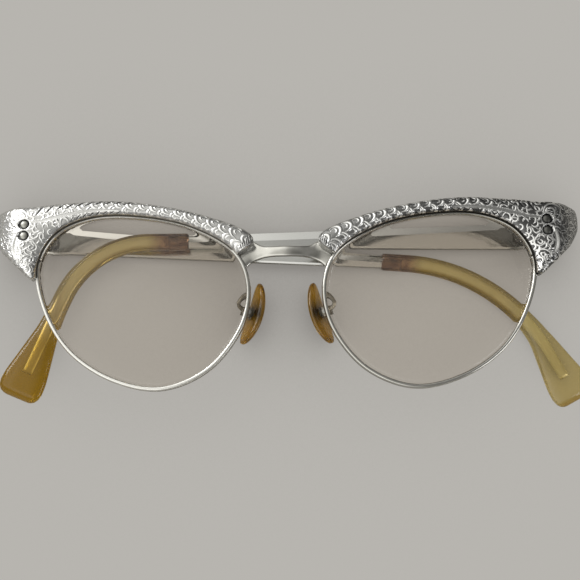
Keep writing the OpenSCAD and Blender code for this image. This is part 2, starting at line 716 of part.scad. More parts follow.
tab_t = 0.9;
box_gap = 0.1;
box_wall = 0.45;
box_half = 1.1;
tab_r = 0.65;
mount_r = 1.4;
mount_deep = 0.6;

module nose_pad(side) {
    color("darkorange")
    pad_frame(side)
    difference() {
        loft([for (k = [0:13]) let (
                f = -cos(180 * (0.03 + 0.94 * k / 13)),
                half_w = pad_w / 2 * sqrt(1 - f * f) * (1 - 0.16 * f),
                half_t = pad_t / 2 * pow(1 - f * f, 0.3))
            [for (j = [0:11]) let (a = 30 * j)
                [half_t * sin(a) - pad_bow * (1 - f * f), f * pad_len / 2,
                    half_w * cos(a)]]]);
        translate([pad_t / 2 - pad_bow - mount_deep, 0, 0]) rotate([0, 90, 0])
            cylinder(r = mount_r + seat, h = 3);
    }
}

module pad_mount(side) {
    foot = -pad_reach - mount_deep + seat;
    color("silver")
    pad_frame(side, pad_axis)
    difference() {
        union() {
            translate([foot, 0, 0]) rotate([0, 90, 0])
                cylinder(r = mount_r, h = mount_deep - seat);
            translate([foot + 0.1, -0.6, -tab_t / 2]) cube([-foot - 0.1, 1.2, tab_t]);
            translate([0, 0, -tab_t / 2]) cylinder(r = tab_r, h = tab_t);
        }
        translate([0, 0, -2]) cylinder(r = pad_screw_r + 0.04, h = 4);
    }
}

module pad_screw(side) {
    top = tab_t / 2 + box_gap + box_wall + 0.02;
    color("silver")
    pad_frame(side, pad_axis)
    translate([0, 0, top])
        screw(pad_screw_r, 2 * top + 0.2, pad_screw_r * 2, 0.35);
}

module pad_arm(side) {
    wall = tab_t / 2 + box_gap;
    start = eye_pt(arm_at, 0);
    base = tab_r + 0.15;
    path = [[start[0], start[1], -wire_d - seat],
        [start[0] - 0.1, start[1] - 0.1, -wire_d - 1.3],
        [start[0] + 0.5, start[1] - 0.7, -wire_d - 2.6],
        pad_pin + [1.9, 1.9, 0.9],
        pad_pin + (base + 0.3) * pad_way];
    steps = 3;
    color("dimgray")
    union() {
        front_side(side)
        loft([for (i = [0:(len(path) - 1) * steps]) let (
                c = open_at(path, i / steps),
                d = unit(open_at(path, min(i / steps + 0.05, len(path) - 1))
                    - open_at(path, max(i / steps - 0.05, 0))),
                a = unit([1, 0, 0] - d[0] * d),
                b = cross(d, a))
            [for (k = [0:7]) c + arm_r * (cos(45 * k) * a + sin(45 * k) * b)]]);
        pad_frame(side, pad_axis)
        difference() {
            translate([-0.55, -box_half, -wall - box_wall])
                cube([base + 1, 2 * box_half, 2 * (wall + box_wall)]);
            translate([-2, -2 * box_half, -wall]) cube([2 + base, 4 * box_half, 2 * wall]);
            translate([0, 0, -3]) cylinder(r = pad_screw_r + 0.04, h = 6);
        }
    }
}

eyewire(-1);  // eyewire_left
eyewire(1);  // eyewire_right
rim_lock(-1);  // rim_lock_left
rim_lock(1);  // rim_lock_right
rim_lock_screw(-1);  // rim_lock_screw_left
rim_lock_screw(1);  // rim_lock_screw_right
lens(-1);  // lens_left
lens(1);  // lens_right
bridge();
brow_bar(-1);  // brow_bar_left
brow_bar(1);  // brow_bar_right
brow_screws();
hinge_front_leaf(-1);  // hinge_front_leaf_left
hinge_front_leaf(1);  // hinge_front_leaf_right
hinge_front_rivets(-1);  // hinge_front_rivets_left
hinge_front_rivets(1);  // hinge_front_rivets_right
hinge_screw(-1);  // hinge_screw_left
hinge_screw(1);  // hinge_screw_right
pad_arm(-1);  // pad_arm_left
pad_arm(1);  // pad_arm_right
pad_screw(-1);  // pad_screw_left
pad_screw(1);  // pad_screw_right
pad_mount(-1);  // pad_mount_left
pad_mount(1);  // pad_mount_right
nose_pad(-1);  // nose_pad_left
nose_pad(1);  // nose_pad_right
temple_shaft(-1);  // temple_shaft_left
temple_shaft(1);  // temple_shaft_right
temple_hinge_leaf(-1);  // temple_hinge_leaf_left
temple_hinge_leaf(1);  // temple_hinge_leaf_right
temple_rivets(-1);  // temple_rivets_left
temple_rivets(1);  // temple_rivets_right
temple_core(-1);  // temple_core_left
temple_core(1);  // temple_core_right
temple_sleeve(-1);  // temple_sleeve_left
temple_sleeve(1);  // temple_sleeve_right
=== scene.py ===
# %% [markdown]
# This lesson dresses a pair of folded cat eye eyeglasses. The exact solids come from the
# CAD model and keep their places. Pieces whose looks need fine curves or carving are
# modelled again here, in the same frame, and stand in for their CAD nodes.

import math

import bmesh
import bpy
import numpy as np
from mathutils import Matrix, Vector


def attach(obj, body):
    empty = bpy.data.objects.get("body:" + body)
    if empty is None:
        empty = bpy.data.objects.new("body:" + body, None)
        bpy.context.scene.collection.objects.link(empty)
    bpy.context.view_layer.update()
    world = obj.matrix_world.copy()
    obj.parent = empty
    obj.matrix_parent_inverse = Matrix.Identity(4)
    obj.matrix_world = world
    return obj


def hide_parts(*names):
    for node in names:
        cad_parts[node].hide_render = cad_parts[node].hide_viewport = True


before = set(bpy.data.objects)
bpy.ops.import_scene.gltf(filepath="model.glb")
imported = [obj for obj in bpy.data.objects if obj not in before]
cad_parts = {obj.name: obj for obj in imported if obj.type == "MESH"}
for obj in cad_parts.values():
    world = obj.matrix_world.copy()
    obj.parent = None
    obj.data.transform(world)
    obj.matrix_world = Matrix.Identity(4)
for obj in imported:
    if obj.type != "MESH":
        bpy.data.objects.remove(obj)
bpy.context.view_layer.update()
scene = bpy.context.scene
MM = 0.001
print("CAD nodes:", len(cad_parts))

# %% [markdown]
# The camera comes first, because every later look is judged through it. The glasses lie
# face up, so the camera hangs above them and looks down, leaning 13 degrees towards the
# brow. A small roll makes the front run slightly uphill, as in the photograph. The nose
# stands a little to the left of X = 0, because the frame is centred on the whole outline
# and one temple's tip reaches out on the right.

# %% Camera
FRONT_Z = 11.85
NOSE_X = -0.704113
TILT = math.radians(13)
ROLL = math.atan(0.01134)
FOCAL_PX = 835
IMAGE_PX = 580
AIM_X, AIM_Y = 0.84, 2.3
CAMERA_AWAY = 0.190
target = Vector((NOSE_X + AIM_X, AIM_Y, FRONT_Z)) * MM
forward = Vector((0, math.sin(TILT), -math.cos(TILT)))
right_0 = Vector((1, 0, 0))
up_0 = Vector((0, math.cos(TILT), math.sin(TILT)))
right = math.cos(ROLL) * right_0 - math.sin(ROLL) * up_0
up = math.sin(ROLL) * right_0 + math.cos(ROLL) * up_0

lens_data = bpy.data.cameras.new("camera")
lens_data.sensor_width = 36
lens_data.lens = FOCAL_PX / IMAGE_PX * lens_data.sensor_width
lens_data.clip_start = 0.005
camera = bpy.data.objects.new("camera", lens_data)
scene.collection.objects.link(camera)
camera.matrix_world = Matrix((
    (right.x, up.x, -forward.x, target.x - CAMERA_AWAY * forward.x),
    (right.y, up.y, -forward.y, target.y - CAMERA_AWAY * forward.y),
    (right.z, up.z, -forward.z, target.z - CAMERA_AWAY * forward.z),
    (0, 0, 0, 1)))
scene.camera = camera
print("camera at", tuple(round(v, 4) for v in camera.matrix_world.translation))

# %% [markdown]
# A material is a graph of nodes, and a graph is hard to read as code. So a small class
# wraps one output socket. Adding, subtracting or multiplying wrapped sockets adds the Math
# node that does it, and the script then reads like arithmetic. A second class holds one
# material, with the few patterns that the finishes below are made of.


# %% Shader arithmetic
class Value:
    """One output socket of a material's node graph, usable in Python arithmetic."""

    def __init__(self, tree, socket):
        self.tree, self.socket = tree, socket

    def node(self, kind, values, settings=None, output=0):
        """Adds any node, with its settings first and then its input sockets."""
        made = self.tree.nodes.new(kind)
        for name, setting in (settings or {}).items():
            if name == "stops":
                ramp = made.color_ramp
                while len(ramp.elements) < len(setting):
                    ramp.elements.new(0.5)
                for element, (place, colour) in zip(ramp.elements, setting):
                    element.position, element.color = place, colour
            else:
                setattr(made, name, setting)
        for name, value in values.items():
            if isinstance(value, Value):
                self.tree.links.new(value.socket, made.inputs[name])
            else:
                made.inputs[name].default_value = value
        return Value(self.tree, made.outputs[output])

    def maths(self, operation, *terms):
        return self.node("ShaderNodeMath", dict(enumerate(terms)), {"operation": operation})

    def __add__(self, other):
        return self.maths("ADD", self, other)

    __radd__ = __add__

    def __mul__(self, other):
        return self.maths("MULTIPLY", self, other)

    __rmul__ = __mul__

    def __sub__(self, other):
        return self.maths("SUBTRACT", self, other)

    def __rsub__(self, other):
        return self.maths("SUBTRACT", other, self)

    def smooth(self, low, high):
        """0 below low, 1 above high, and a smooth step between."""
        return self.node("ShaderNodeMapRange", {"Value": self, "From Min": low, "From Max": high},
                         {"interpolation_type": "SMOOTHSTEP"})

    def tint(self, dark, light):
        """A colour that goes from dark to light as this value goes from 0 to 1."""
        first, last = (c if isinstance(c, Value) else (*c, 1) for c in (dark, light))
        return self.node("ShaderNodeMix", {"Factor": self, 6: first, 7: last},
                         {"data_type": "RGBA"}, output=2)


class Finish:
    """A material with one Principled shader, and places to read a pattern from."""

    def __init__(self, name, **constants):
        self.material = bpy.data.materials.new(name)
        self.material.use_nodes = True
        self.tree = self.material.node_tree
        self.tree.nodes.clear()
        self.shader = self.tree.nodes.new("ShaderNodeBsdfPrincipled")
        self.out = self.tree.nodes.new("ShaderNodeOutputMaterial")
        self.tree.links.new(self.shader.outputs[0], self.out.inputs["Surface"])
        self.set(**constants)

    def set(self, **inputs):
        for name, value in inputs.items():
            socket = self.shader.inputs[name.replace("_", " ")]
            if isinstance(value, Value):
                self.tree.links.new(value.socket, socket)
            else:
                socket.default_value = (*value, 1) if isinstance(value, tuple) else value

    def start(self, kind, values=None, settings=None, output=0):
        return Value(self.tree, None).node(kind, values or {}, settings, output)

    def place(self):
        """Object coordinates: metres in the frame of the CAD model."""
        return self.start("ShaderNodeTexCoord", output="Object")

    def sideways(self):
        """Metres from the middle of the frame: negative at the left, positive at the right."""
        return self.start("ShaderNodeSeparateXYZ", {"Vector": self.place()})

    def attribute(self, name):
        return self.start("ShaderNodeAttribute", {}, {"attribute_name": name}, output="Fac")

    def noise(self, scale, detail=3, where=None):
        return self.start("ShaderNodeTexNoise", {"Vector": where or self.place(),
                                                 "Scale": scale, "Detail": detail})

    def bump(self, height, depth, strength):
        self.set(Normal=self.start("ShaderNodeBump", {"Height": height, "Distance": depth,
                                                      "Strength": strength}))


print("shader arithmetic ready")

# %% [markdown]
# The room is plain: a pale floor, two large soft lamps and a pale world. Bright metal
# shows only what it reflects. Straight overhead the world is grey, as where a
# photographer leans over a table, and a bright ring lies round that. So flat metal looks
# grey, and edges and cuts that tilt a little catch a white line. The left half is brighter
# than the right, as in a room with one window. The camera itself sees one pale colour.

# %% World
PALE = (0.475, 0.46, 0.43)


def direct_look(tree):
    """1 for a ray from the camera, also after it has passed through glass or plastic."""
    ray = tree.nodes.new("ShaderNodeLightPath")
    camera_ray, clear_ray = (Value(tree, ray.outputs[name])
                             for name in ("Is Camera Ray", "Is Transmission Ray"))
    return camera_ray.maths("MAXIMUM", camera_ray, clear_ray)


world = bpy.data.worlds.new("room")
scene.world = world
world.use_nodes = True
tree = world.node_tree
tree.nodes.clear()
sky = Value(tree, None)
direction = sky.node("ShaderNodeTexCoord", {}, output="Generated")
height = sky.node("ShaderNodeSeparateXYZ", {0: direction}, output="Z")
side = sky.node("ShaderNodeSeparateXYZ", {0: direction}, output="X")
bands = sky.node("ShaderNodeValToRGB", {0: height * 0.5 + 0.5}, {"stops": [
    (0.0, (0.50, 0.48, 0.45, 1)), (0.5, (0.54, 0.52, 0.49, 1)), (0.58, (0.20, 0.20, 0.20, 1)),
    (0.68, (0.12, 0.12, 0.11, 1)), (0.79, (0.92, 0.91, 0.87, 1)), (0.94, (0.92, 0.91, 0.87, 1)),
    (0.975, (0.54, 0.535, 0.505, 1)), (1.0, (0.48, 0.475, 0.445, 1))]})
window_side = side.node("ShaderNodeMapRange", {
    "Value": side, "From Min": 0.34, "From Max": -0.26, "To Min": 0.26, "To Max": 1.30},
    {"interpolation_type": "SMOOTHSTEP"})
bands = sky.node("ShaderNodeMix", {"Factor": 1.0, 6: bands, 7: window_side},
                 {"data_type": "RGBA", "blend_type": "MULTIPLY"}, output=2)
background = sky.node("ShaderNodeBackground", {
    "Color": direct_look(tree).tint(bands, PALE), "Strength": 1.0})
world_out = tree.nodes.new("ShaderNodeOutputWorld")
tree.links.new(background.socket, world_out.inputs["Surface"])
scene.view_settings.view_transform = "Standard"
print("world nodes:", len(tree.nodes))

# %% [markdown]
# Two soft lamps stand in for a window at the upper left and a weaker room lamp at the
# lower right. Their light is wide, so that the shade under the wires has soft edges.


# %% Lamps
def soft_lamp(name, place, size, watts):
    data = bpy.data.lights.new(name, "AREA")
    data.shape = "RECTANGLE"
    data.size, data.size_y = size
    data.energy = watts
    lamp = bpy.data.objects.new(name, data)
    scene.collection.objects.link(lamp)
    lamp.location = place
    lamp.rotation_euler = (target - Vector(place)).to_track_quat("-Z", "Y").to_euler()


soft_lamp("window", (-0.48, 0.38, 0.30), (0.36, 0.24), 1.2)
soft_lamp("room lamp", (0.52, -0.26, 0.30), (0.30, 0.24), 0.5)

# %% [markdown]
# The floor is one large square. The camera looks through it to the pale world, and the
# floor adds only the soft shade under the glasses. So temples that swing down below the
# floor stay in sight. Light and reflections still meet a pale, matt floor.

# %% Floor
FLOOR_HALF = 1.5
bm = bmesh.new()
bmesh.ops.create_grid(bm, x_segments=1, y_segments=1, size=FLOOR_HALF)
mesh = bpy.data.meshes.new("floor")
bm.to_mesh(mesh)
bm.free()
floor = bpy.data.objects.new("floor", mesh)
scene.collection.objects.link(floor)

SHADE_REACH = 0.045
floor_finish = Finish("pale floor", Roughness=0.9, Base_Color=PALE)
tree = floor_finish.tree
shade = 1 - floor_finish.start("ShaderNodeAmbientOcclusion", {"Distance": SHADE_REACH},
                               {"samples": 16}, output="AO")
clear = floor_finish.start("ShaderNodeBsdfTransparent")
dark = floor_finish.start("ShaderNodeEmission", {"Color": (0.10, 0.09, 0.08, 1)})
veil = floor_finish.start("ShaderNodeMixShader", {0: shade, 1: clear, 2: dark})
matt = Value(tree, floor_finish.shader.outputs[0])
choice = floor_finish.start("ShaderNodeMixShader", {0: direct_look(tree), 1: matt, 2: veil})
tree.links.new(choice.socket, floor_finish.out.inputs["Surface"])
floor.data.materials.append(floor_finish.material)
print("floor at z =", floor.location.z)

# %% [markdown]
# Each metal has a base colour for its reflections and a roughness. On the real front the
# aluminium is bright where the graver cut and where hands polish it, and grey and matt in
# the ground between. The carved bars carry an attribute called "depth": 0 on a ridge, 1 in
# the ground and 2 at the bottom of a nick, which is nearly black. Attributes stay with the
# mesh, so the finish follows the carving from every side. Light from the left is painted in:
# the ground of the right bar is painted darker, as painted shade, and the left wire and
# rivets are painted lighter, as painted light. Wires and screws are a warmer, nickel-like grey.

# %% Metals
carved = Finish("carved aluminium", Metallic=1.0)
deep = carved.attribute("depth")
mottle = carved.noise(900, 4)
# Painted shade: the ground is painted darker from left to right, as if light fell from the left.
painted_shade_rightwards = carved.sideways().smooth(-0.032, 0.058)
ground = painted_shade_rightwards.tint((0.62, 0.62, 0.61), (0.08, 0.08, 0.08))
ground = deep.smooth(1.1, 1.8).tint(ground, (0.06, 0.06, 0.06))
carved.set(Base_Color=deep.smooth(0.05, 0.95).tint((0.97, 0.97, 0.96), ground),
           Roughness=0.18 + deep.smooth(0.1, 0.9) * 0.08 + mottle * 0.10)
carved.bump(carved.noise(5200, 2), 0.00003, 0.6)

bright = Finish("bright aluminium", Metallic=1.0)
brushed = bright.noise(1.0, 3, bright.start("ShaderNodeMapping", {
    "Vector": bright.place(), "Scale": (90.0, 2600.0, 900.0)}))
bright.set(Roughness=0.14 + brushed * 0.06,
           Base_Color=bright.noise(60, 2).tint((0.70, 0.70, 0.68), (0.84, 0.84, 0.82)))

wire = Finish("polished wire", Metallic=1.0)
# Painted light and shade: the left wire is painted lighter, and the attribute "shade" paints shade
# on the wire's back and sides and under the bar.
left_side = wire.sideways().smooth(-0.008, -0.018)
lit_and_clean = wire.noise(500, 4).tint((0.58, 0.57, 0.53), (0.80, 0.79, 0.75))
lit_and_clean = left_side.tint(lit_and_clean, (0.97, 0.96, 0.92))
wire.set(Base_Color=wire.attribute("shade").tint(lit_and_clean, (0.16, 0.15, 0.13)),
         Roughness=0.10 + wire.noise(1300, 3) * 0.14 + left_side * 0.14)

fastener = Finish("satin fastener", Metallic=1.0)
fastener.set(Base_Color=fastener.noise(1500, 3).tint((0.24, 0.24, 0.22), (0.50, 0.49, 0.46)),
             Roughness=0.22 + fastener.noise(2500, 2) * 0.2)

rivet = Finish("dull rivet", Metallic=1.0)
# Painted light and shade: rivets at the left are painted lighter, and the sloping edge of each
# head is painted near black.
painted_light_left = (rivet.sideways() + rivet.noise(1500, 3) * 0.02).smooth(0.045, -0.035)
polished = painted_light_left.tint((0.14, 0.14, 0.13), (0.50, 0.50, 0.46))
facing = rivet.start("ShaderNodeTexCoord", output="Normal")
crown = rivet.start("ShaderNodeSeparateXYZ", {"Vector": facing}, output="Z").smooth(0.84, 0.93)
rivet.set(Base_Color=crown.tint((0.03, 0.03, 0.03), polished),
          Roughness=0.26 + rivet.noise(2500, 2) * 0.2)

hinge = Finish("hinge metal", Metallic=1.0)
hinge.set(Base_Color=hinge.noise(900, 4).tint((0.30, 0.29, 0.27), (0.60, 0.58, 0.55)),
          Roughness=0.28 + hinge.noise(2000, 3) * 0.2)

oxidised = Finish("oxidised arm", Metallic=1.0)
oxidised.set(Base_Color=oxidised.noise(1100, 4).tint((0.10, 0.09, 0.07), (0.46, 0.43, 0.36)),
             Roughness=0.25 + oxidised.noise(2300, 3) * 0.3)

core_metal = Finish("core metal", Metallic=1.0)
core_metal.set(Base_Color=core_metal.noise(200, 2).tint((0.90, 0.86, 0.66), (0.99, 0.96, 0.80)),
               Roughness=0.32 + core_metal.noise(300, 2) * 0.1)
metals = (carved, bright, wire, fastener, rivet, hinge, oxidised, core_metal)
print("metal finishes:", [finish.material.name for finish in metals])

# %% [markdown]
# The lenses let all light through, so their transmission is 1. Their index is lower than
# that of glass, so that what lies behind keeps its place, and a clear coat brings back the
# reflection that glass has. The plastic of the sleeves and pads lets light in too, but
# it is tinted amber and cloudy. A sleeve is stained brown where it covers the end of the
# shaft, and turns orange in its paddle. A pad is dark with grime round its metal mount.
# All of these follow attributes that the pieces carry.

# %% Glass and plastic
glass = Finish("lens glass", Transmission_Weight=1.0, IOR=1.1, Coat_Weight=0.6,
               Coat_Roughness=0.0)
glass.set(Base_Color=glass.noise(25, 2).tint((0.86, 0.815, 0.755), (0.89, 0.845, 0.79)),
          Roughness=0.0)

amber = Finish("amber plastic", Transmission_Weight=0.92, IOR=1.45, Specular_IOR_Level=0.4)
cloud = amber.noise(220, 3)
middle = cloud.tint((0.62, 0.51, 0.22), (0.76, 0.65, 0.34))
# Painted shade: the flanks are painted a darker amber than the middle.
body = amber.attribute("flank").smooth(0.35, 1.0).tint(middle, (0.36, 0.24, 0.04))
body = amber.attribute("edge").tint(body, (0.42, 0.237, 0.009))
stain = amber.noise(700, 4).smooth(0.35, 0.65).tint((0.20, 0.11, 0.075), (0.42, 0.25, 0.15))
amber.set(Base_Color=amber.attribute("collar").tint(body, stain), Roughness=0.02 + cloud * 0.08)

pad_amber = Finish("pad amber", Transmission_Weight=0.80, IOR=1.49, Coat_Weight=0.35,
                   Coat_Roughness=0.03)
haze = pad_amber.noise(300, 3)
lit_and_clean = haze.tint((0.50, 0.25, 0.015), (0.72, 0.42, 0.04))
pad_amber.set(Base_Color=pad_amber.attribute("grime").tint(lit_and_clean, (0.02, 0.012, 0.005)),
              Roughness=0.12 + haze * 0.1)
print("clear finishes:", [finish.material.name for finish in (glass, amber, pad_amber)])

# %% [markdown]
# Many pieces here are skins over a row of cross-sections. One helper makes them all. It
# starts from a flat grid, moves each point of the grid to its place, welds the grid into
# a tube where the sections close, and fills the two ends. The rows are measured from the
# middle of the nose, so that a left and a right piece are mirror images of each other.


# %% Skin helper
def skin(name, rows, finish, values=None):
    """A closed tube through rows of points in mm. Values give attributes, a number a point."""
    rows = np.asarray(rows, float)
    count, across = rows.shape[:2]
    bm = bmesh.new()
    bmesh.ops.create_grid(bm, x_segments=across - 1, y_segments=count - 1, size=1)
    bm.verts.ensure_lookup_table()
    layers = {key: bm.verts.layers.float.new(key) for key in (values or {})}
    flat = (rows.reshape(-1, 3) + (NOSE_X, 0, 0)) * MM
    for vert, place in zip(bm.verts, flat.tolist()):
        vert.co = place
    for key, layer in layers.items():
        for vert, number in zip(bm.verts, np.asarray(values[key]).reshape(-1).tolist()):
            vert[layer] = number
    verts = list(bm.verts)
    seam = {verts[i * across + across - 1]: verts[i * across] for i in range(count)}
    bmesh.ops.weld_verts(bm, targetmap=seam)
    open_edges = [e for e in bm.edges if e.is_boundary]
    bmesh.ops.holes_fill(bm, edges=open_edges, sides=0)
    bmesh.ops.recalc_face_normals(bm, faces=bm.faces)
    for face in bm.faces:
        face.smooth = True
    mesh = bpy.data.meshes.new(name)
    bm.to_mesh(mesh)
    bm.free()
    mesh.materials.append(finish.material)
    piece = bpy.data.objects.new(name, mesh)
    scene.collection.objects.link(piece)
    return piece


def power(wave, by):
    """A sine or cosine to a power, with its sign kept: below 1 it squares a circle."""
    return math.copysign(abs(wave) ** by, wave)


AROUND = np.linspace(0, 2 * math.pi, 41)
print("points round an oval:", len(AROUND) - 1)

# %% [markdown]
# The outline of the eyewire is the ruler for the whole front. It is a smooth curve
# through thirteen points, in shares of the lens's half width and half height, clockwise
# from the outermost point. The same numbers shape the CAD model.

# %% Outline of the eyewire
EYE = np.array([
    (1.00, 0.385), (0.893, -0.138), (0.64, -0.59), (0.246, -0.897), (-0.205, -1.0),
    (-0.635, -0.783), (-0.926, -0.325), (-0.996, 0.158), (-0.852, 0.571),
    (-0.434, 0.867), (0.061, 0.995), (0.512, 0.985), (0.852, 0.788)])
LENS_W, LENS_H, BRIDGE_GAP = 48.4, 39.8, 17.6
WIRE_W, WIRE_D, GROOVE_D, BEVEL_H, SEAT = 1.0, 2.2, 0.3, 0.35, 0.05
FACE_WRAP = math.radians(1.2)
WIRE_SEAT = WIRE_W / 2 - GROOVE_D
EYE_HALF = np.array([LENS_W / 2 + WIRE_SEAT, LENS_H / 2 + WIRE_SEAT])
EYE_MID = np.array([(BRIDGE_GAP + LENS_W) / 2, 0.4])
TURN = len(EYE)
NEAR = 0.02


def through(a, b, c, d, f):
    """Smooth curve from b to c, at a share f of the way."""
    return 0.5 * (2 * b + (c - a) * f + (2 * a - 5 * b + 4 * c - d) * f ** 2
                  + (3 * b - a - 3 * c + d) * f ** 3)


def round_curve(points, t):
    i = math.floor(t)
    n = len(points)
    return through(*(points[(i + k) % n] for k in (-1, 0, 1, 2)), t - i)


def open_curve(points, t):
    n = len(points)
    i = min(math.floor(t), n - 2)
    return through(points[max(i - 1, 0)], points[i], points[i + 1], points[min(i + 2, n - 1)],
                   t - i)


def eye_out(t):
    """Direction away from the lens at a place on the outline."""
    d = (round_curve(EYE, t + NEAR) - round_curve(EYE, t - NEAR)) * EYE_HALF
    d /= np.linalg.norm(d)
    return np.array([-d[1], d[0]])


def eye_point(t, off=0.0):
    """Place on the outline, or off it by some millimetres."""
    return EYE_MID + round_curve(EYE, t) * EYE_HALF + off * eye_out(t)


RIM_IN = eye_point(7)[0]
RIM_OUT = eye_point(TURN)[0]
WRAP_X = RIM_OUT + 3.4
FLAT_X = RIM_OUT - 1.4


def rim_z(x):
    """Height lost towards the side, where the front wraps round the face a little."""
    return -math.tan(FACE_WRAP) * (np.clip(x, None, FLAT_X) - RIM_IN).clip(0)


print("eyewire from x =", round(float(RIM_IN), 2), "to", round(float(RIM_OUT), 2), "mm")

# %% [markdown]
# An eyewire is a channel: a rounded strip with a V groove inside that holds the lens.
# Its section is swept round the outline. It is cut at the outer side, where the closing
# block clamps it, so the sweep has two ends. The attribute "shade" paints shade on its back
# and sides, and on the part under the bar, where the bar casts its shadow.

# %% Eyewires
LOCK_AT = 12.78
WIRE_SLIT = 0.3
WIRE_STEPS = 300
BAR_FROM, BAR_TO = 7.85, 0.22
TOP = WIRE_D / 2


def channel():
    """Section of the wire: outwards from the lens, and up to the front."""
    outer = [(0.5 * WIRE_W * power(math.cos(a), 0.55), TOP * math.sin(a))
             for a in np.linspace(-1.25, 1.25, 15)]
    front = [(0.02, TOP), (-0.2, TOP * 0.99), (-0.36, TOP * 0.93), (-0.46, TOP * 0.8),
             (-0.5, TOP * 0.6), (-0.5, BEVEL_H + SEAT + 0.05)]
    groove = [(-0.47, BEVEL_H + SEAT), (-WIRE_SEAT, 0.0)]
    back = [(x, -z) for x, z in reversed(front + groove[:1])]
    return outer + front + groove + back


def both_sides(make):
    return [make("left", -1), make("right", 1)]


def eyewire(side, sign):
    section = channel()
    section.append(section[0])
    # Painted shade on the back and sides of the wire, and on its outer half under the bar, where
    # the bar casts its shadow.
    painted_back_shade = [np.clip((0.62 - rise / TOP) / 0.5, 0, 1) for _, rise in section]
    covered = [1.0 if out > -0.25 else 0.0 for out, _ in section]
    gap = WIRE_SLIT / 2 / np.linalg.norm(eye_point(LOCK_AT + 0.5) - eye_point(LOCK_AT - 0.5))
    rows, shade_rows = [], []
    for t in np.linspace(LOCK_AT + gap, LOCK_AT + TURN - gap, WIRE_STEPS):
        row = []
        under_bar = BAR_FROM + 0.15 < t % TURN or t % TURN < BAR_TO
        shade_rows.append(np.maximum(painted_back_shade, covered) if under_bar else painted_back_shade)
        for out, rise in section:
            x, y = eye_point(t, out)
            row.append((sign * x, y, FRONT_Z + rim_z(x) - TOP + rise))
        rows.append(row)
    piece = skin(f"rim_{side}", rows, wire, values={"shade": shade_rows})
    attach(piece, "front")
    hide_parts(f"eyewire_{side}")
    return piece


rims = both_sides(eyewire)
print("rim faces:", [len(p.data.polygons) for p in rims])

# %% [markdown]
# A lens is a meniscus: both faces bulge forwards, and the back one more. Here its edge is
# thicker than its middle, because such lenses help short sight. The sections are copies
# of the outline, shrunk towards the middle, first over the back and then over the front.
# Cycles would cast a solid shadow under clear glass, so the lenses cast none.

# %% Lenses
LENS_T, FRONT_R, BACK_R = 1.8, 130, 95
EDGE_RISE = BEVEL_H + 0.1
LENS_TOP = EDGE_RISE + LENS_W ** 2 / 4 / (2 * FRONT_R)


def lens(side, sign):
    places = np.linspace(0, TURN, 12 * TURN + 1)
    edge = np.array([eye_point(t, -WIRE_W / 2 - SEAT) for t in places]) - EYE_MID
    tip = np.array([eye_point(t, -WIRE_SEAT - SEAT) for t in places]) - EYE_MID
    shares = np.linspace(0.02, 1, 24)
    rings = [(edge * k, LENS_TOP - LENS_T - (edge * k) ** 2 @ (1, 1) / (2 * BACK_R))
             for k in shares]
    rings += [(edge, np.full(len(places), -BEVEL_H)), (tip, np.zeros(len(places))),
              (edge, np.full(len(places), BEVEL_H))]
    rings += [(edge * k, LENS_TOP - (edge * k) ** 2 @ (1, 1) / (2 * FRONT_R))
              for k in shares[::-1]]
    rows = []
    for flat, z in rings:
        x, y = (flat + EYE_MID).T
        rows.append(np.stack([sign * x, y, FRONT_Z + rim_z(x) - TOP + z], axis=1))
    piece = skin(f"clear_lens_{side}", rows, glass)
    piece.visible_shadow = False
    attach(piece, "front")
    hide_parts(f"lens_{side}")
    return piece


lenses = both_sides(lens)
print("lens faces:", [len(p.data.polygons) for p in lenses])

# %% [markdown]
# A brow bar is a cambered strip of aluminium that follows the eyewire and widens to a
# lobe, whose outer end bends back to the hinge. Each row of the table is one section: its
# place on the outline, its width and the way it points. The sections between them follow
# smoothly. They are spread evenly along the bar, and each has a few more points near its
# two edges, where the surface turns down.

# %% Brow bar: sections
BAR = np.array([
    (7.85, 3.85, 148), (7.86, 5.2, 137), (7.92, 5.5, 119), (8.1, 5.05, 108),
    (8.6, 3.85, 95), (9.3, 3.15, 82), (10.03, 3.1, 84), (10.65, 3.4, 80),
    (11.2, 4.1, 76), (11.65, 5.75, 67), (12.0, 8.35, 51.5), (12.25, 12.9, 37.9),
    (12.42, 16.1, 31.2), (12.55, 14.9, 24.0), (12.7, 11.2, 19.6), (12.85, 6.4, 9),
    (13.0, 3.7, -5), (13.12, 2.4, -14), (13.22, 1.25, -22)])
BAR_LIP, BAR_PROUD, WRAP_R = 1.4, 1.9, 9.0
BAR_EDGE, BAR_CROWN = BAR_LIP + 0.9, BAR_LIP + BAR_PROUD
ROWS, SHARES = 620, 124
MEASURED_AT, CROWDING = 0.6, 0.35


def spaced(points, count):
    """Places along the bar's sections, spread evenly by length."""
    t = np.linspace(0, len(points) - 1, 2000)
    rows = np.array([open_curve(points, k) for k in t])
    spots = np.array([eye_point(r[0]) + MEASURED_AT * r[1] * np.array(
        [math.cos(math.radians(r[2])), math.sin(math.radians(r[2]))]) for r in rows])
    length = np.concatenate([[0], np.cumsum(np.linalg.norm(np.diff(spots, axis=0), axis=1))])
    return np.interp(np.linspace(0, length[-1], count), length, t), length[-1]


bar_places, bar_length = spaced(BAR, ROWS)
bar_rows = np.array([open_curve(BAR, t) for t in bar_places])
bar_low = np.array([eye_point(r[0]) for r in bar_rows])
angle = np.radians(bar_rows[:, 2])
bar_way = bar_rows[:, 1:2] * np.stack([np.cos(angle), np.sin(angle)], axis=1)
even = np.linspace(0, 1, SHARES)
shares = (1 - CROWDING) * even + CROWDING * (0.5 - 0.5 * np.cos(math.pi * even))
bar_xy = bar_low[:, None] + bar_way[:, None] * shares[None, :, None]
print("bar length", round(bar_length, 1), "mm, grid", bar_xy.shape[:2])

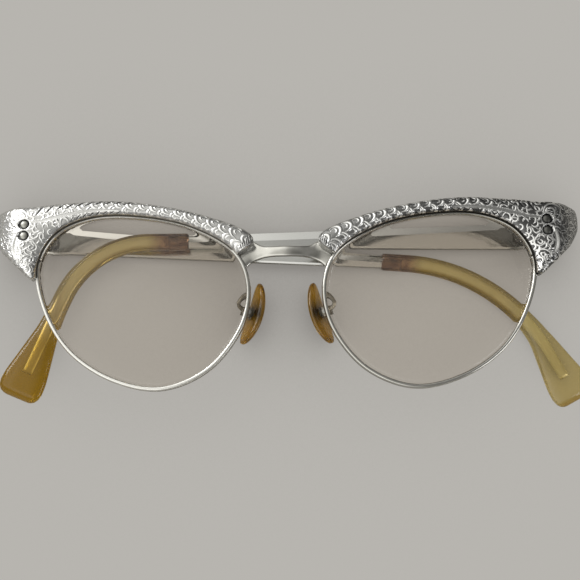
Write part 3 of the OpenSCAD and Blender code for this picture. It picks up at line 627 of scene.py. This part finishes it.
# %% [markdown]
# The bar was engraved by hand, and four kinds of mark make its pattern. A scale is a
# C-shaped ridge with a scooped, dark ground inside and a small curl in the middle. A leaf
# is a ridge that winds inwards, with a cut beside it. A nick is a short straight cut with a
# V section. A band is a smooth strip with a raised border. Each mark lowers or raises the
# points of the grid that it reaches, so the carving is real and shows from every side.
# Later marks lie over earlier ones.


# %% Brow bar: marks of the graver
class Engraving:
    """Heights in mm over the plain surface of a bar, at each point of its grid."""

    GROUND_DEPTH = 0.78
    LIP, CURL, LEAF, BORDER = 0.13, 0.09, 0.08, 0.07
    SCOOP, CUT = 0.04, 0.03

    def __init__(self, points):
        self.x, self.y = points[..., 0], points[..., 1]
        self.height = np.zeros(self.x.shape)
        self.depth = np.full(self.x.shape, self.GROUND_DEPTH)

    def polar(self, cx, cy, facing, stretch):
        """Distance and turn of each point round a centre, in a frame drawn out one way."""
        f = math.radians(facing)
        dx, dy = self.x - cx, self.y - cy
        ahead = (dx * math.cos(f) + dy * math.sin(f)) / stretch
        aside = dy * math.cos(f) - dx * math.sin(f)
        return np.hypot(ahead, aside), np.degrees(np.arctan2(aside, ahead))

    def scale(self, cx, cy, radius, facing, ridge=0.62, sweep=112):
        """C-shaped ridge that faces a direction, round a scooped dark ground with a curl."""
        away, turn = self.polar(cx, cy, facing, 1.3)
        reach = radius * (1 - 0.16 * turn / 180)
        lip = self.stroke(away, turn, reach - ridge / 2, sweep, ridge)
        curl = self.stroke(away, turn - 20, radius * (0.34 + 0.12 * turn / 180), 120, 0.6 * ridge)
        raised = np.maximum(lip, curl)
        made = self.LIP * lip + self.CURL * curl - self.SCOOP
        shade = 0.9 * np.clip(1 - 1.8 * raised, 0, 1)
        open_side = np.clip((np.abs(turn) - sweep) / 40, 0, 1)
        edge = np.clip((reach - away) / 0.08, 0, 1) * (away < reach)
        edge *= 1 - open_side * np.clip((away / reach - 0.45) / 0.3, 0, 1)
        self.height += (made - self.height) * edge
        self.depth += (shade - self.depth) * edge
        outline = np.clip(1 - (away - reach) / 0.2, 0, 1) * (away > reach) * (np.abs(turn) < sweep)
        self.height -= self.SCOOP * outline
        self.depth = np.maximum(self.depth, outline)

    def leaf(self, cx, cy, radius, facing, ridge=0.36, sweep=100, bright=1.0):
        """Curved ridge that winds inwards, with a dark cut along its inner side."""
        away, turn = self.polar(cx, cy, facing, 1.25)
        reach = radius * (1 - 0.28 * turn / 180)
        lip = self.stroke(away, turn, reach - ridge / 2, sweep, ridge)
        shadow = self.stroke(away, turn, reach - 1.35 * ridge, sweep * 0.85, 0.8 * ridge)
        low = self.height - self.CUT * shadow
        self.height = np.where(lip > 0, np.maximum(self.height, self.LEAF * lip), low)
        self.depth = np.maximum(self.depth, shadow) * (1 - bright * np.clip(1.8 * lip, 0, 1))

    @staticmethod
    def stroke(away, turn, at, sweep, width):
        """Rounded ridge along an arc, 1 on its crest, that tapers at both ends."""
        taper = np.sqrt(np.clip(1 - (np.abs(turn) / sweep) ** 2.4, 0, 1))
        off = (away - at) / (width / 2 * taper + 1e-6)
        return np.where(taper > 0, np.clip(1 - off ** 2, 0, 1), 0)

    def nick(self, ax, ay, bx, by, width, cut):
        """Straight cut from one point to another, deepest in the middle."""
        way = np.array([bx - ax, by - ay])
        length = np.hypot(*way)
        along = ((self.x - ax) * way[0] + (self.y - ay) * way[1]) / length ** 2
        off = np.abs((self.x - ax) * way[1] - (self.y - ay) * way[0]) / length
        taper = np.clip(4 * along * (1 - along), 0, 1) ** 0.6
        inside = np.clip(1 - off / (width / 2 * taper + 1e-6), 0, 1)
        mark = np.where((along > 0) & (along < 1), inside, 0)
        self.height -= cut * mark * taper
        self.depth = np.maximum(self.depth, np.clip(3 * mark, 0, 2))

    def band(self, points, width, floor_height, floor_depth, border=0.16, lean=0.0):
        """A smooth strip along a curve, with a raised border, that may lean sideways."""
        nearest = np.full(self.x.shape, 99.0)
        along = np.zeros(self.x.shape)
        for i, (a, b) in enumerate(zip(points[:-1], points[1:])):
            way = b - a
            ahead = (self.x - a[0]) * way[0] + (self.y - a[1]) * way[1]
            share = (ahead / (way @ way)).clip(0, 1)
            off = np.hypot(self.x - a[0] - share * way[0], self.y - a[1] - share * way[1])
            closer = off < nearest
            nearest = np.where(closer, off, nearest)
            along = np.where(closer, (i + share) / (len(points) - 1), along)
        half = width / 2 * (np.clip(4 * along * (1 - along), 0, 1) ** 0.5 * 0.75 + 0.25)
        flat = np.clip((half - nearest) / 0.1, 0, 1)
        aside = self.x - np.interp(along, np.linspace(0, 1, len(points)), points[:, 0])
        self.height += (floor_height + lean * aside - self.height) * flat
        self.depth += (floor_depth - self.depth) * flat
        lip = np.clip(1 - np.abs(nearest - half - border / 2) / (border / 2), 0, 1)
        self.height = np.where(lip > 0, np.maximum(self.height, self.BORDER * lip), self.height)
        self.depth = np.where(lip > 0.3, 0.0, self.depth)


def bar_at(share, v):
    """Point of the flat bar at shares of its length and width, its angle and its width."""
    i = int(share * (ROWS - 1))
    return bar_low[i] + bar_way[i] * v, angle[i], bar_rows[i, 1]


print("graver ready")

# %% [markdown]
# The pattern is laid out as on the real bar: leaves all over the lobe and its bend, rows of
# scales from the brow to the nose, a plain arc, curls round the rivets and nicks along the
# edges. A fixed seed gives each mark its own small turn and size, the same in each run.
# All of it is carved in the flat, and the bend comes after, as it did for the maker.

# %% Brow bar: leaves
HINGE_Y, RIVET_PITCH = 17.0573, 2.7
RIVET_X = WRAP_X - 0.4
RIVET_YS = (HINGE_Y - RIVET_PITCH / 2, HINGE_Y + RIVET_PITCH / 2)
BENT_X, BENT_DEPTH = WRAP_X + 2.0, 0.62
FINE_X = WRAP_X + 2.4
cuts = Engraving(bar_xy)
random = np.random.RandomState(7)

# Leaves on a staggered grid, each turned with the bar, and smaller ones on the bend
cuts.depth = np.where(bar_xy[..., 0] > BENT_X, BENT_DEPTH, cuts.depth)
middles = bar_low + bar_way * 0.5
leaves = []
for column, gx in enumerate(np.arange(37.0, 76.0, 1.15)):
    for gy in np.arange(1.0, 26.0, 1.5):
        spot = np.array([gx, gy + 0.75 * (column % 2)]) + random.uniform(-0.3, 0.3, 2)
        nearest = np.argmin(np.hypot(*(middles - spot).T))
        flow = math.degrees(angle[nearest]) - 90
        turned = random.choice((60, -60, 20, 150))
        leaves.append((*spot, random.uniform(0.75, 1.15), flow + turned + random.uniform(-30, 30)))
for x, y, radius, facing in sorted(leaves, key=lambda mark: -mark[0]):
    if x > FINE_X:
        cuts.leaf(x, y, radius * 1.1, facing, ridge=0.24, sweep=110, bright=0.45)
    else:
        cuts.leaf(x, y, radius, facing)
print("leaves:", len(leaves))

# %% Brow bar: scales, arc, curls and nicks
# Scales in two rows, from the middle of the brow down to the nose
scale_at = 0.55
while scale_at > 0.01:
    for v, shift in ((0.72, 0.0), (0.26, -0.018)):
        spot, way, width = bar_at(max(scale_at + shift, 0.012), v)
        spot = spot + random.uniform(-0.12, 0.12, 2)
        along_angle = math.degrees(way) - 90
        facing = along_angle + (16 if v > 0.5 else -14) + random.uniform(-10, 10)
        cuts.scale(*spot, min(0.44 * width, 1.6) * random.uniform(0.88, 1.06), facing)
    scale_at -= 0.038

# Short parallel cuts at the nasal tip
for v in np.arange(0.34, 1.0, 0.13):
    a, b = bar_at(0.004, v)[0], bar_at(0.030, v + 0.04)[0]
    cuts.nick(*a, *b, width=0.30, cut=0.10)

# Plain arc from the middle of the brow to the rivets
arc_ends = np.array([(38.5, 21.35), (43.5, 21.5), (48.5, 21.0), (53.0, 20.0), (56.5, 19.1),
                     (59.2, 18.9)])
arc = np.array([open_curve(arc_ends, t) for t in np.linspace(0, 5, 40)])
cuts.band(arc, 0.75, floor_height=-0.08, floor_depth=0.45)

# Curls in the lobe's lower end and above the rivets, and a polished crescent outside them
CURLS = ((59.2, 7.6, 1.0, 230), (59.0, 9.8, 1.3, 150), (61.1, 9.7, 1.4, 330),
         (61.2, 20.2, 1.9, 60), (61.0, 20.0, 1.1, 75), (58.6, 13.0, 1.3, 200))
for x, y, radius, facing in CURLS:
    cuts.leaf(x, y, radius, facing, ridge=0.40, sweep=160)
    cuts.leaf(x, y, radius * 0.45, facing + 120, ridge=0.34, sweep=140)
crescent = np.array([(61.35, 16.6), (62.0, 14.9), (62.2, 13.0), (61.9, 11.4), (61.3, 10.3)])
cuts.band(np.array([open_curve(crescent, t) for t in np.linspace(0, 4, 30)]), 0.8,
          floor_height=-0.08, floor_depth=0.0, lean=0.62)

# Nicks along the upper and lower edges
for share in np.arange(0.40, 0.70, 0.030):
    a, b = bar_at(share + 0.034, 0.66)[0], bar_at(share, 0.99)[0]
    cuts.nick(*a, *b, width=0.46, cut=0.20)
for share in np.arange(0.44, 0.60, 0.022):
    a, b = bar_at(share + 0.018, 0.02)[0], bar_at(share, 0.20)[0]
    cuts.nick(*a, *b, width=0.30, cut=0.12)
print("deepest cut", round(float(cuts.height.min()), 2), "mm")

# %% [markdown]
# The front of the bar is the plain cambered surface plus the carving. Round each rivet the
# carving stops at a smooth ring, and a countersink goes down under the rivet's head. Then
# the outer end is bent backwards, with a bend that gets thinner as hammered metal does.

# %% Brow bar: surface
BEND_THIN, BEND_RUN = 0.42, 6


def bar_thin(x):
    """Share of its full thickness that the bar keeps on its bend."""
    return 1 - BEND_THIN * np.clip((x - WRAP_X) / BEND_RUN, 0, 1)


def bent(x, y, z, h):
    """Points of the flat bar after its outer end is bent backwards."""
    a = (x - WRAP_X) / WRAP_R
    past = x > WRAP_X
    bent_x = np.where(past, WRAP_X + (WRAP_R + h) * np.sin(a), x)
    bent_z = np.where(past, z - WRAP_R + (WRAP_R + h) * np.cos(a), z + h)
    return np.stack([bent_x, y, bent_z], axis=-1)


def camber(v):
    """Height of the plain surface over the back, across the bar."""
    span = np.abs(2 * v - 1)
    return BAR_EDGE + (BAR_CROWN - BAR_EDGE) * (1 - span ** 2.6) ** 0.72


CALM_R, RING_R, SINK_R = 1.5, 1.24, 1.12
BRIGHT_R, DARK_R = 1.42, 1.2
RING_DEPTH, SINK_DEPTH = 0.2, 0.80
FADE_SHARE, FADE_ROWS = 0.08, 6
x, y = bar_xy[..., 0], bar_xy[..., 1]
relief, relief_depth = cuts.height, cuts.depth
plain = camber(shares)[None, :] * bar_thin(x)
for rivet_y in RIVET_YS:
    off = np.hypot(x - RIVET_X, y - rivet_y)
    ring = RING_DEPTH * np.clip((RING_R - off) / 0.12, 0, 1)
    relief = np.where(off < CALM_R, np.clip(relief, None, 0) - ring, relief)
    relief = np.where(off < SINK_R, BAR_CROWN - SINK_DEPTH - plain, relief)
    # Painted shade: a dark ring in the countersink round each rivet's head, inside the light
    # smooth ring out to BRIGHT_R.
    relief_depth = np.where(off < BRIGHT_R, np.where(off < DARK_R, 1.0, 0.1), relief_depth)
end_rows = np.minimum(np.arange(ROWS), np.arange(ROWS)[::-1])[:, None]
relief = relief * np.clip(np.minimum(shares, 1 - shares) / FADE_SHARE, 0, 1)[None, :]
relief = relief * np.clip(end_rows / FADE_ROWS, 0, 1)
front_face = bent(x, y, rim_z(x) - BAR_LIP, plain + relief)
print("carved surface", front_face.shape)

# %% [markdown]
# The carved grid is only the front of the bar. Rows along its outer edge, its back and the
# lip behind the eyewire close each section. The same grid, turned over, makes the left bar.


# %% Brow bar: closed strip
def strip_side(v, h):
    """One line of the strip along its edge or back."""
    x, y = (bar_low + bar_way * v).T
    return bent(x, y, rim_z(x) - BAR_LIP, h * bar_thin(x))


LIP_W, BACK_DEPTH = 0.55, 0.45
step = np.clip(LIP_W / bar_rows[:, 1], None, 0.7)[:, None]
back = [strip_side(1.0, 0.6), strip_side(1.0, 0.3), strip_side(0.97, 0.06)]
back += [strip_side(v, 0.0) for v in (0.94, 0.8, 0.64, 0.48, 0.3)]
back += [strip_side(step, 0.0), strip_side(step, BAR_LIP + SEAT),
         strip_side(0.0, BAR_LIP + SEAT)]
strip = np.concatenate([front_face, np.stack(back, axis=1), front_face[:, :1]], axis=1)
strip[..., 2] += FRONT_Z
# Painted shade: the wall along the bar's lower edge and the lip behind the eyewire are painted
# dark, where the bar shades the gap over the eyewire.
relief_depth[:, 0] = 1.0
depth = np.concatenate([relief_depth, np.full((ROWS, len(back)), BACK_DEPTH),
                        relief_depth[:, :1]], axis=1)
depth[:, -3:] = 1.0


def brow_bar(side, sign):
    piece = skin(f"carved_bar_{side}", strip * (sign, 1, 1), carved, values={"depth": depth})
    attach(piece, "front")
    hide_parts(f"brow_bar_{side}")
    return piece


bars = both_sides(brow_bar)
print("bar faces:", [len(p.data.polygons) for p in bars])

# %% [markdown]
# The bridge is one polished strap. It arches forwards between its two feet, spreads where
# they are soldered to the eyewires, and ends in an eye on each side for the brow screw.
# Half of it is laid out as a table of five sections, which is mirrored and smoothed.

# %% Bridge
BRIDGE_H, BRIDGE_T, BRIDGE_ARCH, BRIDGE_STEPS = 2.5, 1.25, 1.25, 97
LUG_R, LUG_AWAY, LUG_ANGLE = 1.5, 3, math.radians(128)
STRAP_DOME, FOOT_GAP = 1.04, 0.25
foot_low = eye_point(7.5, WIRE_W / 2 + FOOT_GAP)
foot_high = eye_point(8.0, WIRE_W / 2 + FOOT_GAP)
strap_y = eye_point(7.85)[1] + 0.95
lug = eye_point(7.95) + LUG_AWAY * np.array([math.cos(LUG_ANGLE), math.sin(LUG_ANGLE)])
strap_back = -BAR_LIP - SEAT - BRIDGE_T
half_h = BRIDGE_H / 2
STRAP = np.array([
    (0, strap_y - half_h, 0, strap_y + half_h, BRIDGE_ARCH),
    (foot_low[0] * 0.36, strap_y - half_h, foot_low[0] * 0.36, strap_y + half_h,
     BRIDGE_ARCH * 0.74),
    (foot_low[0] * 0.64, strap_y - half_h - 0.3, foot_low[0] * 0.62, strap_y + half_h + 0.3,
     BRIDGE_ARCH * 0.27),
    (foot_low[0] - 1.2, (strap_y - half_h + foot_low[1]) / 2, foot_low[0] - 1.0,
     lug[1] + 0.4, 0),
    (*foot_low, *foot_high, 0)])
whole = np.concatenate([STRAP[:0:-1] * (-1, 1, -1, 1, 1), STRAP])
whole = np.array([open_curve(whole, t) for t in np.linspace(0, len(whole) - 1, BRIDGE_STEPS)])
rows = []
for x0, y0, x1, y1, rise in whole:
    row = []
    for a in AROUND:
        share = 0.5 - 0.5 * power(math.cos(a), 0.75)
        lift = 0.5 + 0.5 * power(math.sin(a), 0.62)
        row.append((x0 + (x1 - x0) * share, y0 + (y1 - y0) * share,
                    FRONT_Z + strap_back + rise
                    + lift * BRIDGE_T * (STRAP_DOME if math.sin(a) > 0 else 1)))
    rows.append(row)
# Painted shade on the sides and back of the strap.
painted_back_shade = [max(1 - 3 * max(math.sin(a), 0), 0) for a in AROUND]
bridge = skin("bridge_strap", rows, wire, values={"shade": [painted_back_shade] * BRIDGE_STEPS})

bm = bmesh.new()
bm.from_mesh(bridge.data)
for sign in (-1, 1):
    ring = bmesh.ops.create_cone(
        bm, cap_ends=True, segments=48, radius1=LUG_R * MM, radius2=LUG_R * MM,
        depth=BRIDGE_T * MM,
        matrix=Matrix.Translation(Vector((NOSE_X + sign * lug[0], lug[1],
                                          FRONT_Z + strap_back + BRIDGE_T / 2)) * MM))
    edges = {e for v in ring["verts"] for e in v.link_edges
             if abs(e.verts[0].co.z - e.verts[1].co.z) < 1e-7}
    bmesh.ops.bevel(bm, geom=list(edges), offset=0.18 * MM, segments=3, profile=0.5,
                    affect="EDGES", material=-1)
for face in bm.faces:
    face.smooth = True
bm.to_mesh(bridge.data)
bm.free()
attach(bridge, "front")
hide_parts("bridge")
print("bridge faces:", len(bridge.data.polygons))

# %% [markdown]
# The temples lie folded behind the front. Each runs straight from its hinge, then bends
# down for the ear. The bend differs a little from left to right, as on any worn pair. The
# left temple lies lowest, and the right one leans over it by about two degrees.

# %% Path of a temple
PIN_X, PIN_Z = WRAP_X + 3.0, FRONT_Z - 8.0
TEMPLE_LEN, SLEEVE_START, SET_FROM = 147.0, 87.0, 12.0
SHAFT_OUT, SHAFT_T, SLEEVE_T, FOLD_GAP = 3.0, 1.7, 3.4, 0.3
SLEEVE_OUT = SHAFT_OUT + (SLEEVE_T - SHAFT_T) / 2
SHAFT_MID = SHAFT_OUT - SHAFT_T / 2
LEAN = math.atan((SLEEVE_OUT - (SHAFT_OUT - SHAFT_T) + FOLD_GAP) / (SLEEVE_START - 1))
SQUARE = 2.6
# For each side: set down in degrees, start of the ear bend, its radius and its angle
BENDS = {"left": (4.4, 93.0, 40.0, 58.0), "right": (0.8, 96.5, 21.5, 66.5)}


def temple_way(s, bend):
    """Middle line at a length s from the hinge, and its downward angle in radians."""
    set_down, start, radius, turn = bend
    set_down, turn = math.radians(set_down), math.radians(turn)
    if s < SET_FROM:
        return np.array([-s, 0.0]), 0.0
    spot = np.array([-SET_FROM, 0.0])
    spot -= (min(s, start) - SET_FROM) * np.array([math.cos(set_down), math.sin(set_down)])
    a = set_down + min(max((s - start) / radius, 0), turn)
    spot += radius * np.array([math.sin(set_down) - math.sin(a),
                               math.cos(a) - math.cos(set_down)])
    spot -= max(s - start - radius * turn, 0) * np.array([math.cos(a), math.sin(a)])
    return spot, a


def temple_row(side, s, section):
    """Section of a temple: points given towards its inner side and towards its top."""
    spot, a = temple_way(s, BENDS[side])
    lean = LEAN if side == "right" else 0
    row = []
    for inner, top in section:
        x, y = spot[0] - top * math.sin(a), spot[1] + top * math.cos(a)
        x, z = (x * math.cos(lean) + inner * math.sin(lean),
                inner * math.cos(lean) - x * math.sin(lean))
        row.append(((PIN_X + x) * (-1 if side == "left" else 1), HINGE_Y + y, PIN_Z + z))
    return row


def rounded(middle, half_t, half_h, turns=AROUND):
    """Oval section with slightly flattened sides."""
    return [(middle + half_t * power(math.cos(a), 2 / SQUARE),
             half_h * power(math.sin(a), 2 / SQUARE)) for a in turns]


for side in BENDS:
    print(side, "tip at", np.round(temple_row(side, TEMPLE_LEN, [(-SHAFT_MID, 0)])[0], 1))

# %% [markdown]
# A sleeve is a smooth tube of plastic round a flat metal core. It keeps a small oval
# section round the ear bend and then spreads into a thin paddle with a blunt end. The
# plastic is solid, so the core is simply buried in it and shows through. The sleeve casts
# no shadow, because Cycles would make that solid, and real plastic lets light through.
# Three attributes colour it: brown at the collar, a darker amber at the flanks, which is
# painted shade, and orange at the tip. The right temple's paddle, at the left when folded,
# is the more orange one.

# %% Sleeves and cores
SLEEVE_H, PADDLE_H, PADDLE_T = 4.0, 10.2, 2.8
CORE_H, CORE_T, CORE_IN, TIP_SOLID = 2.4, 1.0, 2.9, 6.0
COLLAR_LEN, COLLAR_FADE = 6.5, 3.5
PADDLE_AMBER = {"left": 0.2, "right": 0.95}
FLARE = TEMPLE_LEN - 20
HALF_H = np.array([
    (SLEEVE_START, SLEEVE_H / 2 - 0.35), (SLEEVE_START + 0.15, SLEEVE_H / 2 - 0.12),
    (SLEEVE_START + 0.5, SLEEVE_H / 2), (FLARE - 2, SLEEVE_H / 2 + 0.15),
    (FLARE + 3, SLEEVE_H / 2 + 0.6), (FLARE + 10, PADDLE_H / 2 - 1.1),
    (FLARE + 15, PADDLE_H / 2 - 0.1), (FLARE + 17.3, PADDLE_H / 2),
    (FLARE + 18.6, PADDLE_H / 2 - 0.3), (FLARE + 19.4, PADDLE_H / 2 - 0.9),
    (FLARE + 19.8, PADDLE_H / 2 - 1.6), (TEMPLE_LEN, PADDLE_H / 2 - 2.4)])
HALF_T = np.array([
    (SLEEVE_START, SLEEVE_T / 2 - 0.35), (SLEEVE_START + 0.15, SLEEVE_T / 2 - 0.12),
    (SLEEVE_START + 0.5, SLEEVE_T / 2), (FLARE, SLEEVE_T / 2), (FLARE + 12, PADDLE_T / 2),
    (FLARE + 18.4, PADDLE_T / 2), (FLARE + 19.4, PADDLE_T / 2 - 0.35),
    (FLARE + 19.8, PADDLE_T / 2 - 0.7), (TEMPLE_LEN, PADDLE_T / 2 - 1.1)])


def eased(table, s):
    """Value between the rows of a table, without corners."""
    values = [np.interp(s + d, *table.T) for d in (-0.9, -0.45, 0, 0.45, 0.9)] \
        if SLEEVE_START + 2 < s < FLARE + 16 else [np.interp(s, *table.T)]
    return float(np.mean(values))


def sleeve(side):
    places = list(SLEEVE_START + np.array([0, 0.05, 0.15, 0.3, 0.5, 1]))
    places += list(np.linspace(SLEEVE_START + 2, FLARE + 16, 90))
    places += list(TEMPLE_LEN - np.array([3.4, 2.8, 2.2, 1.7, 1.3, 0.95, 0.6, 0.35, 0.2, 0.08, 0]))
    rows, brown, orange, flank = [], [], [], []
    for s in places:
        t = eased(HALF_T, s)
        section = rounded(t - SLEEVE_OUT, t, eased(HALF_H, s))
        rows.append(temple_row(side, s, section))
        faded = np.clip((s - SLEEVE_START - COLLAR_LEN) / COLLAR_FADE, 0, 1)
        brown.append([1 - faded] * len(section))
        paddle = np.clip((s - FLARE + 6) / 12, 0, 1)
        thinner = 1 - (1 - PADDLE_AMBER[side]) * paddle
        # Painted shade, strongest at the top and bottom of each section.
        flank.append([thinner * abs(top) / eased(HALF_H, s) for _, top in section])
        tip = np.clip((s - TEMPLE_LEN + 2.2) / 2.0, 0, 1)
        orange.append([max(tip, PADDLE_AMBER[side] * paddle)] * len(section))
    piece = skin(f"amber_sleeve_{side}", rows, amber,
                 values={"collar": brown, "edge": orange, "flank": flank})
    piece.visible_shadow = False
    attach(piece, f"temple_{side}")
    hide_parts(f"temple_sleeve_{side}")
    return piece


def core(side):
    section = rounded(-SHAFT_MID, CORE_T / 2, CORE_H / 2, np.linspace(0, 2 * math.pi, 25))
    rows = [temple_row(side, s, section)
            for s in np.linspace(SLEEVE_START - CORE_IN, TEMPLE_LEN - TIP_SOLID, 80)]
    piece = skin(f"core_strip_{side}", rows, core_metal)
    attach(piece, f"temple_{side}")
    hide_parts(f"temple_core_{side}")
    return piece


sleeves = [sleeve(side) for side in BENDS]
cores = [core(side) for side in BENDS]
print("sleeve and core faces:", [len(p.data.polygons) for p in sleeves + cores])

# %% [markdown]
# A nose pad is a thin oval of plastic, bowed a little towards the nose. Its edge is
# rounded over. It sits in a frame of its own: X away from the nose, Y up the pad and Z to
# the front, turned by its lean and its splay. Grime gathers round the metal mount in its
# back, and an attribute darkens the plastic there.

# %% Nose pads
PAD_LEN, PAD_W, PAD_T, PAD_BOW = 15.0, 7.2, 2.2, 1.1
PAD_X, PAD_Y, PAD_BACK = 8.3, -1.7, 7.0
PAD_LEAN, PAD_SPLAY = math.radians(16), math.radians(-28)
MOUNT_Y, GRIME_R = 0.4, 2.5
pad_turn = Matrix.Rotation(PAD_LEAN, 4, "Z") @ Matrix.Rotation(PAD_SPLAY, 4, "Y")


def nose_pad(side, sign):
    rows, grime = [], []
    for f in -np.cos(math.pi * np.linspace(0.02, 0.98, 48)):
        half_w = PAD_W / 2 * math.sqrt(1 - f * f) * (1 - 0.16 * f)
        half_t = PAD_T / 2 * (1 - f * f) ** 0.3
        near_mount = math.exp(-((f * PAD_LEN / 2 - MOUNT_Y) / GRIME_R) ** 2)
        row = []
        for a in AROUND:
            grime.append(near_mount * np.clip(0.35 + 1.5 * math.sin(a), 0.2, 1))
            spot = pad_turn @ Vector((
                half_t * power(math.sin(a), 0.8) - PAD_BOW * (1 - f * f),
                f * PAD_LEN / 2, half_w * power(math.cos(a), 0.8)))
            row.append((sign * (PAD_X + spot.x), PAD_Y + spot.y, FRONT_Z - PAD_BACK + spot.z))
        rows.append(row)
    piece = skin(f"amber_pad_{side}", rows, pad_amber, values={"grime": grime})
    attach(piece, f"pad_{side}")
    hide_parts(f"nose_pad_{side}")
    return piece


pads = both_sides(nose_pad)
print("pad faces:", [len(p.data.polygons) for p in pads])

# %% [markdown]
# The other pieces are already right as exact solids: shafts, hinge leaves, barrels,
# rivets, screws, locks and guard arms. They keep their meshes and only get a finish.

# %% Finishes of the exact pieces
FINISH_OF = {
    "temple_shaft": bright, "temple_hinge_leaf": hinge, "hinge_front_leaf": hinge,
    "temple_rivets": fastener, "hinge_front_rivets": rivet, "hinge_screw": fastener,
    "brow_screws": fastener, "rim_lock_screw": fastener, "pad_screw": fastener,
    "rim_lock": wire, "pad_arm": oxidised, "pad_mount": oxidised}
dressed = []
for name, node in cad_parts.items():
    kind = name.removesuffix("_left").removesuffix("_right")
    if kind in FINISH_OF:
        node.data.materials.clear()
        node.data.materials.append(FINISH_OF[kind].material)
        dressed.append(name)
print("exact pieces finished:", len(dressed))
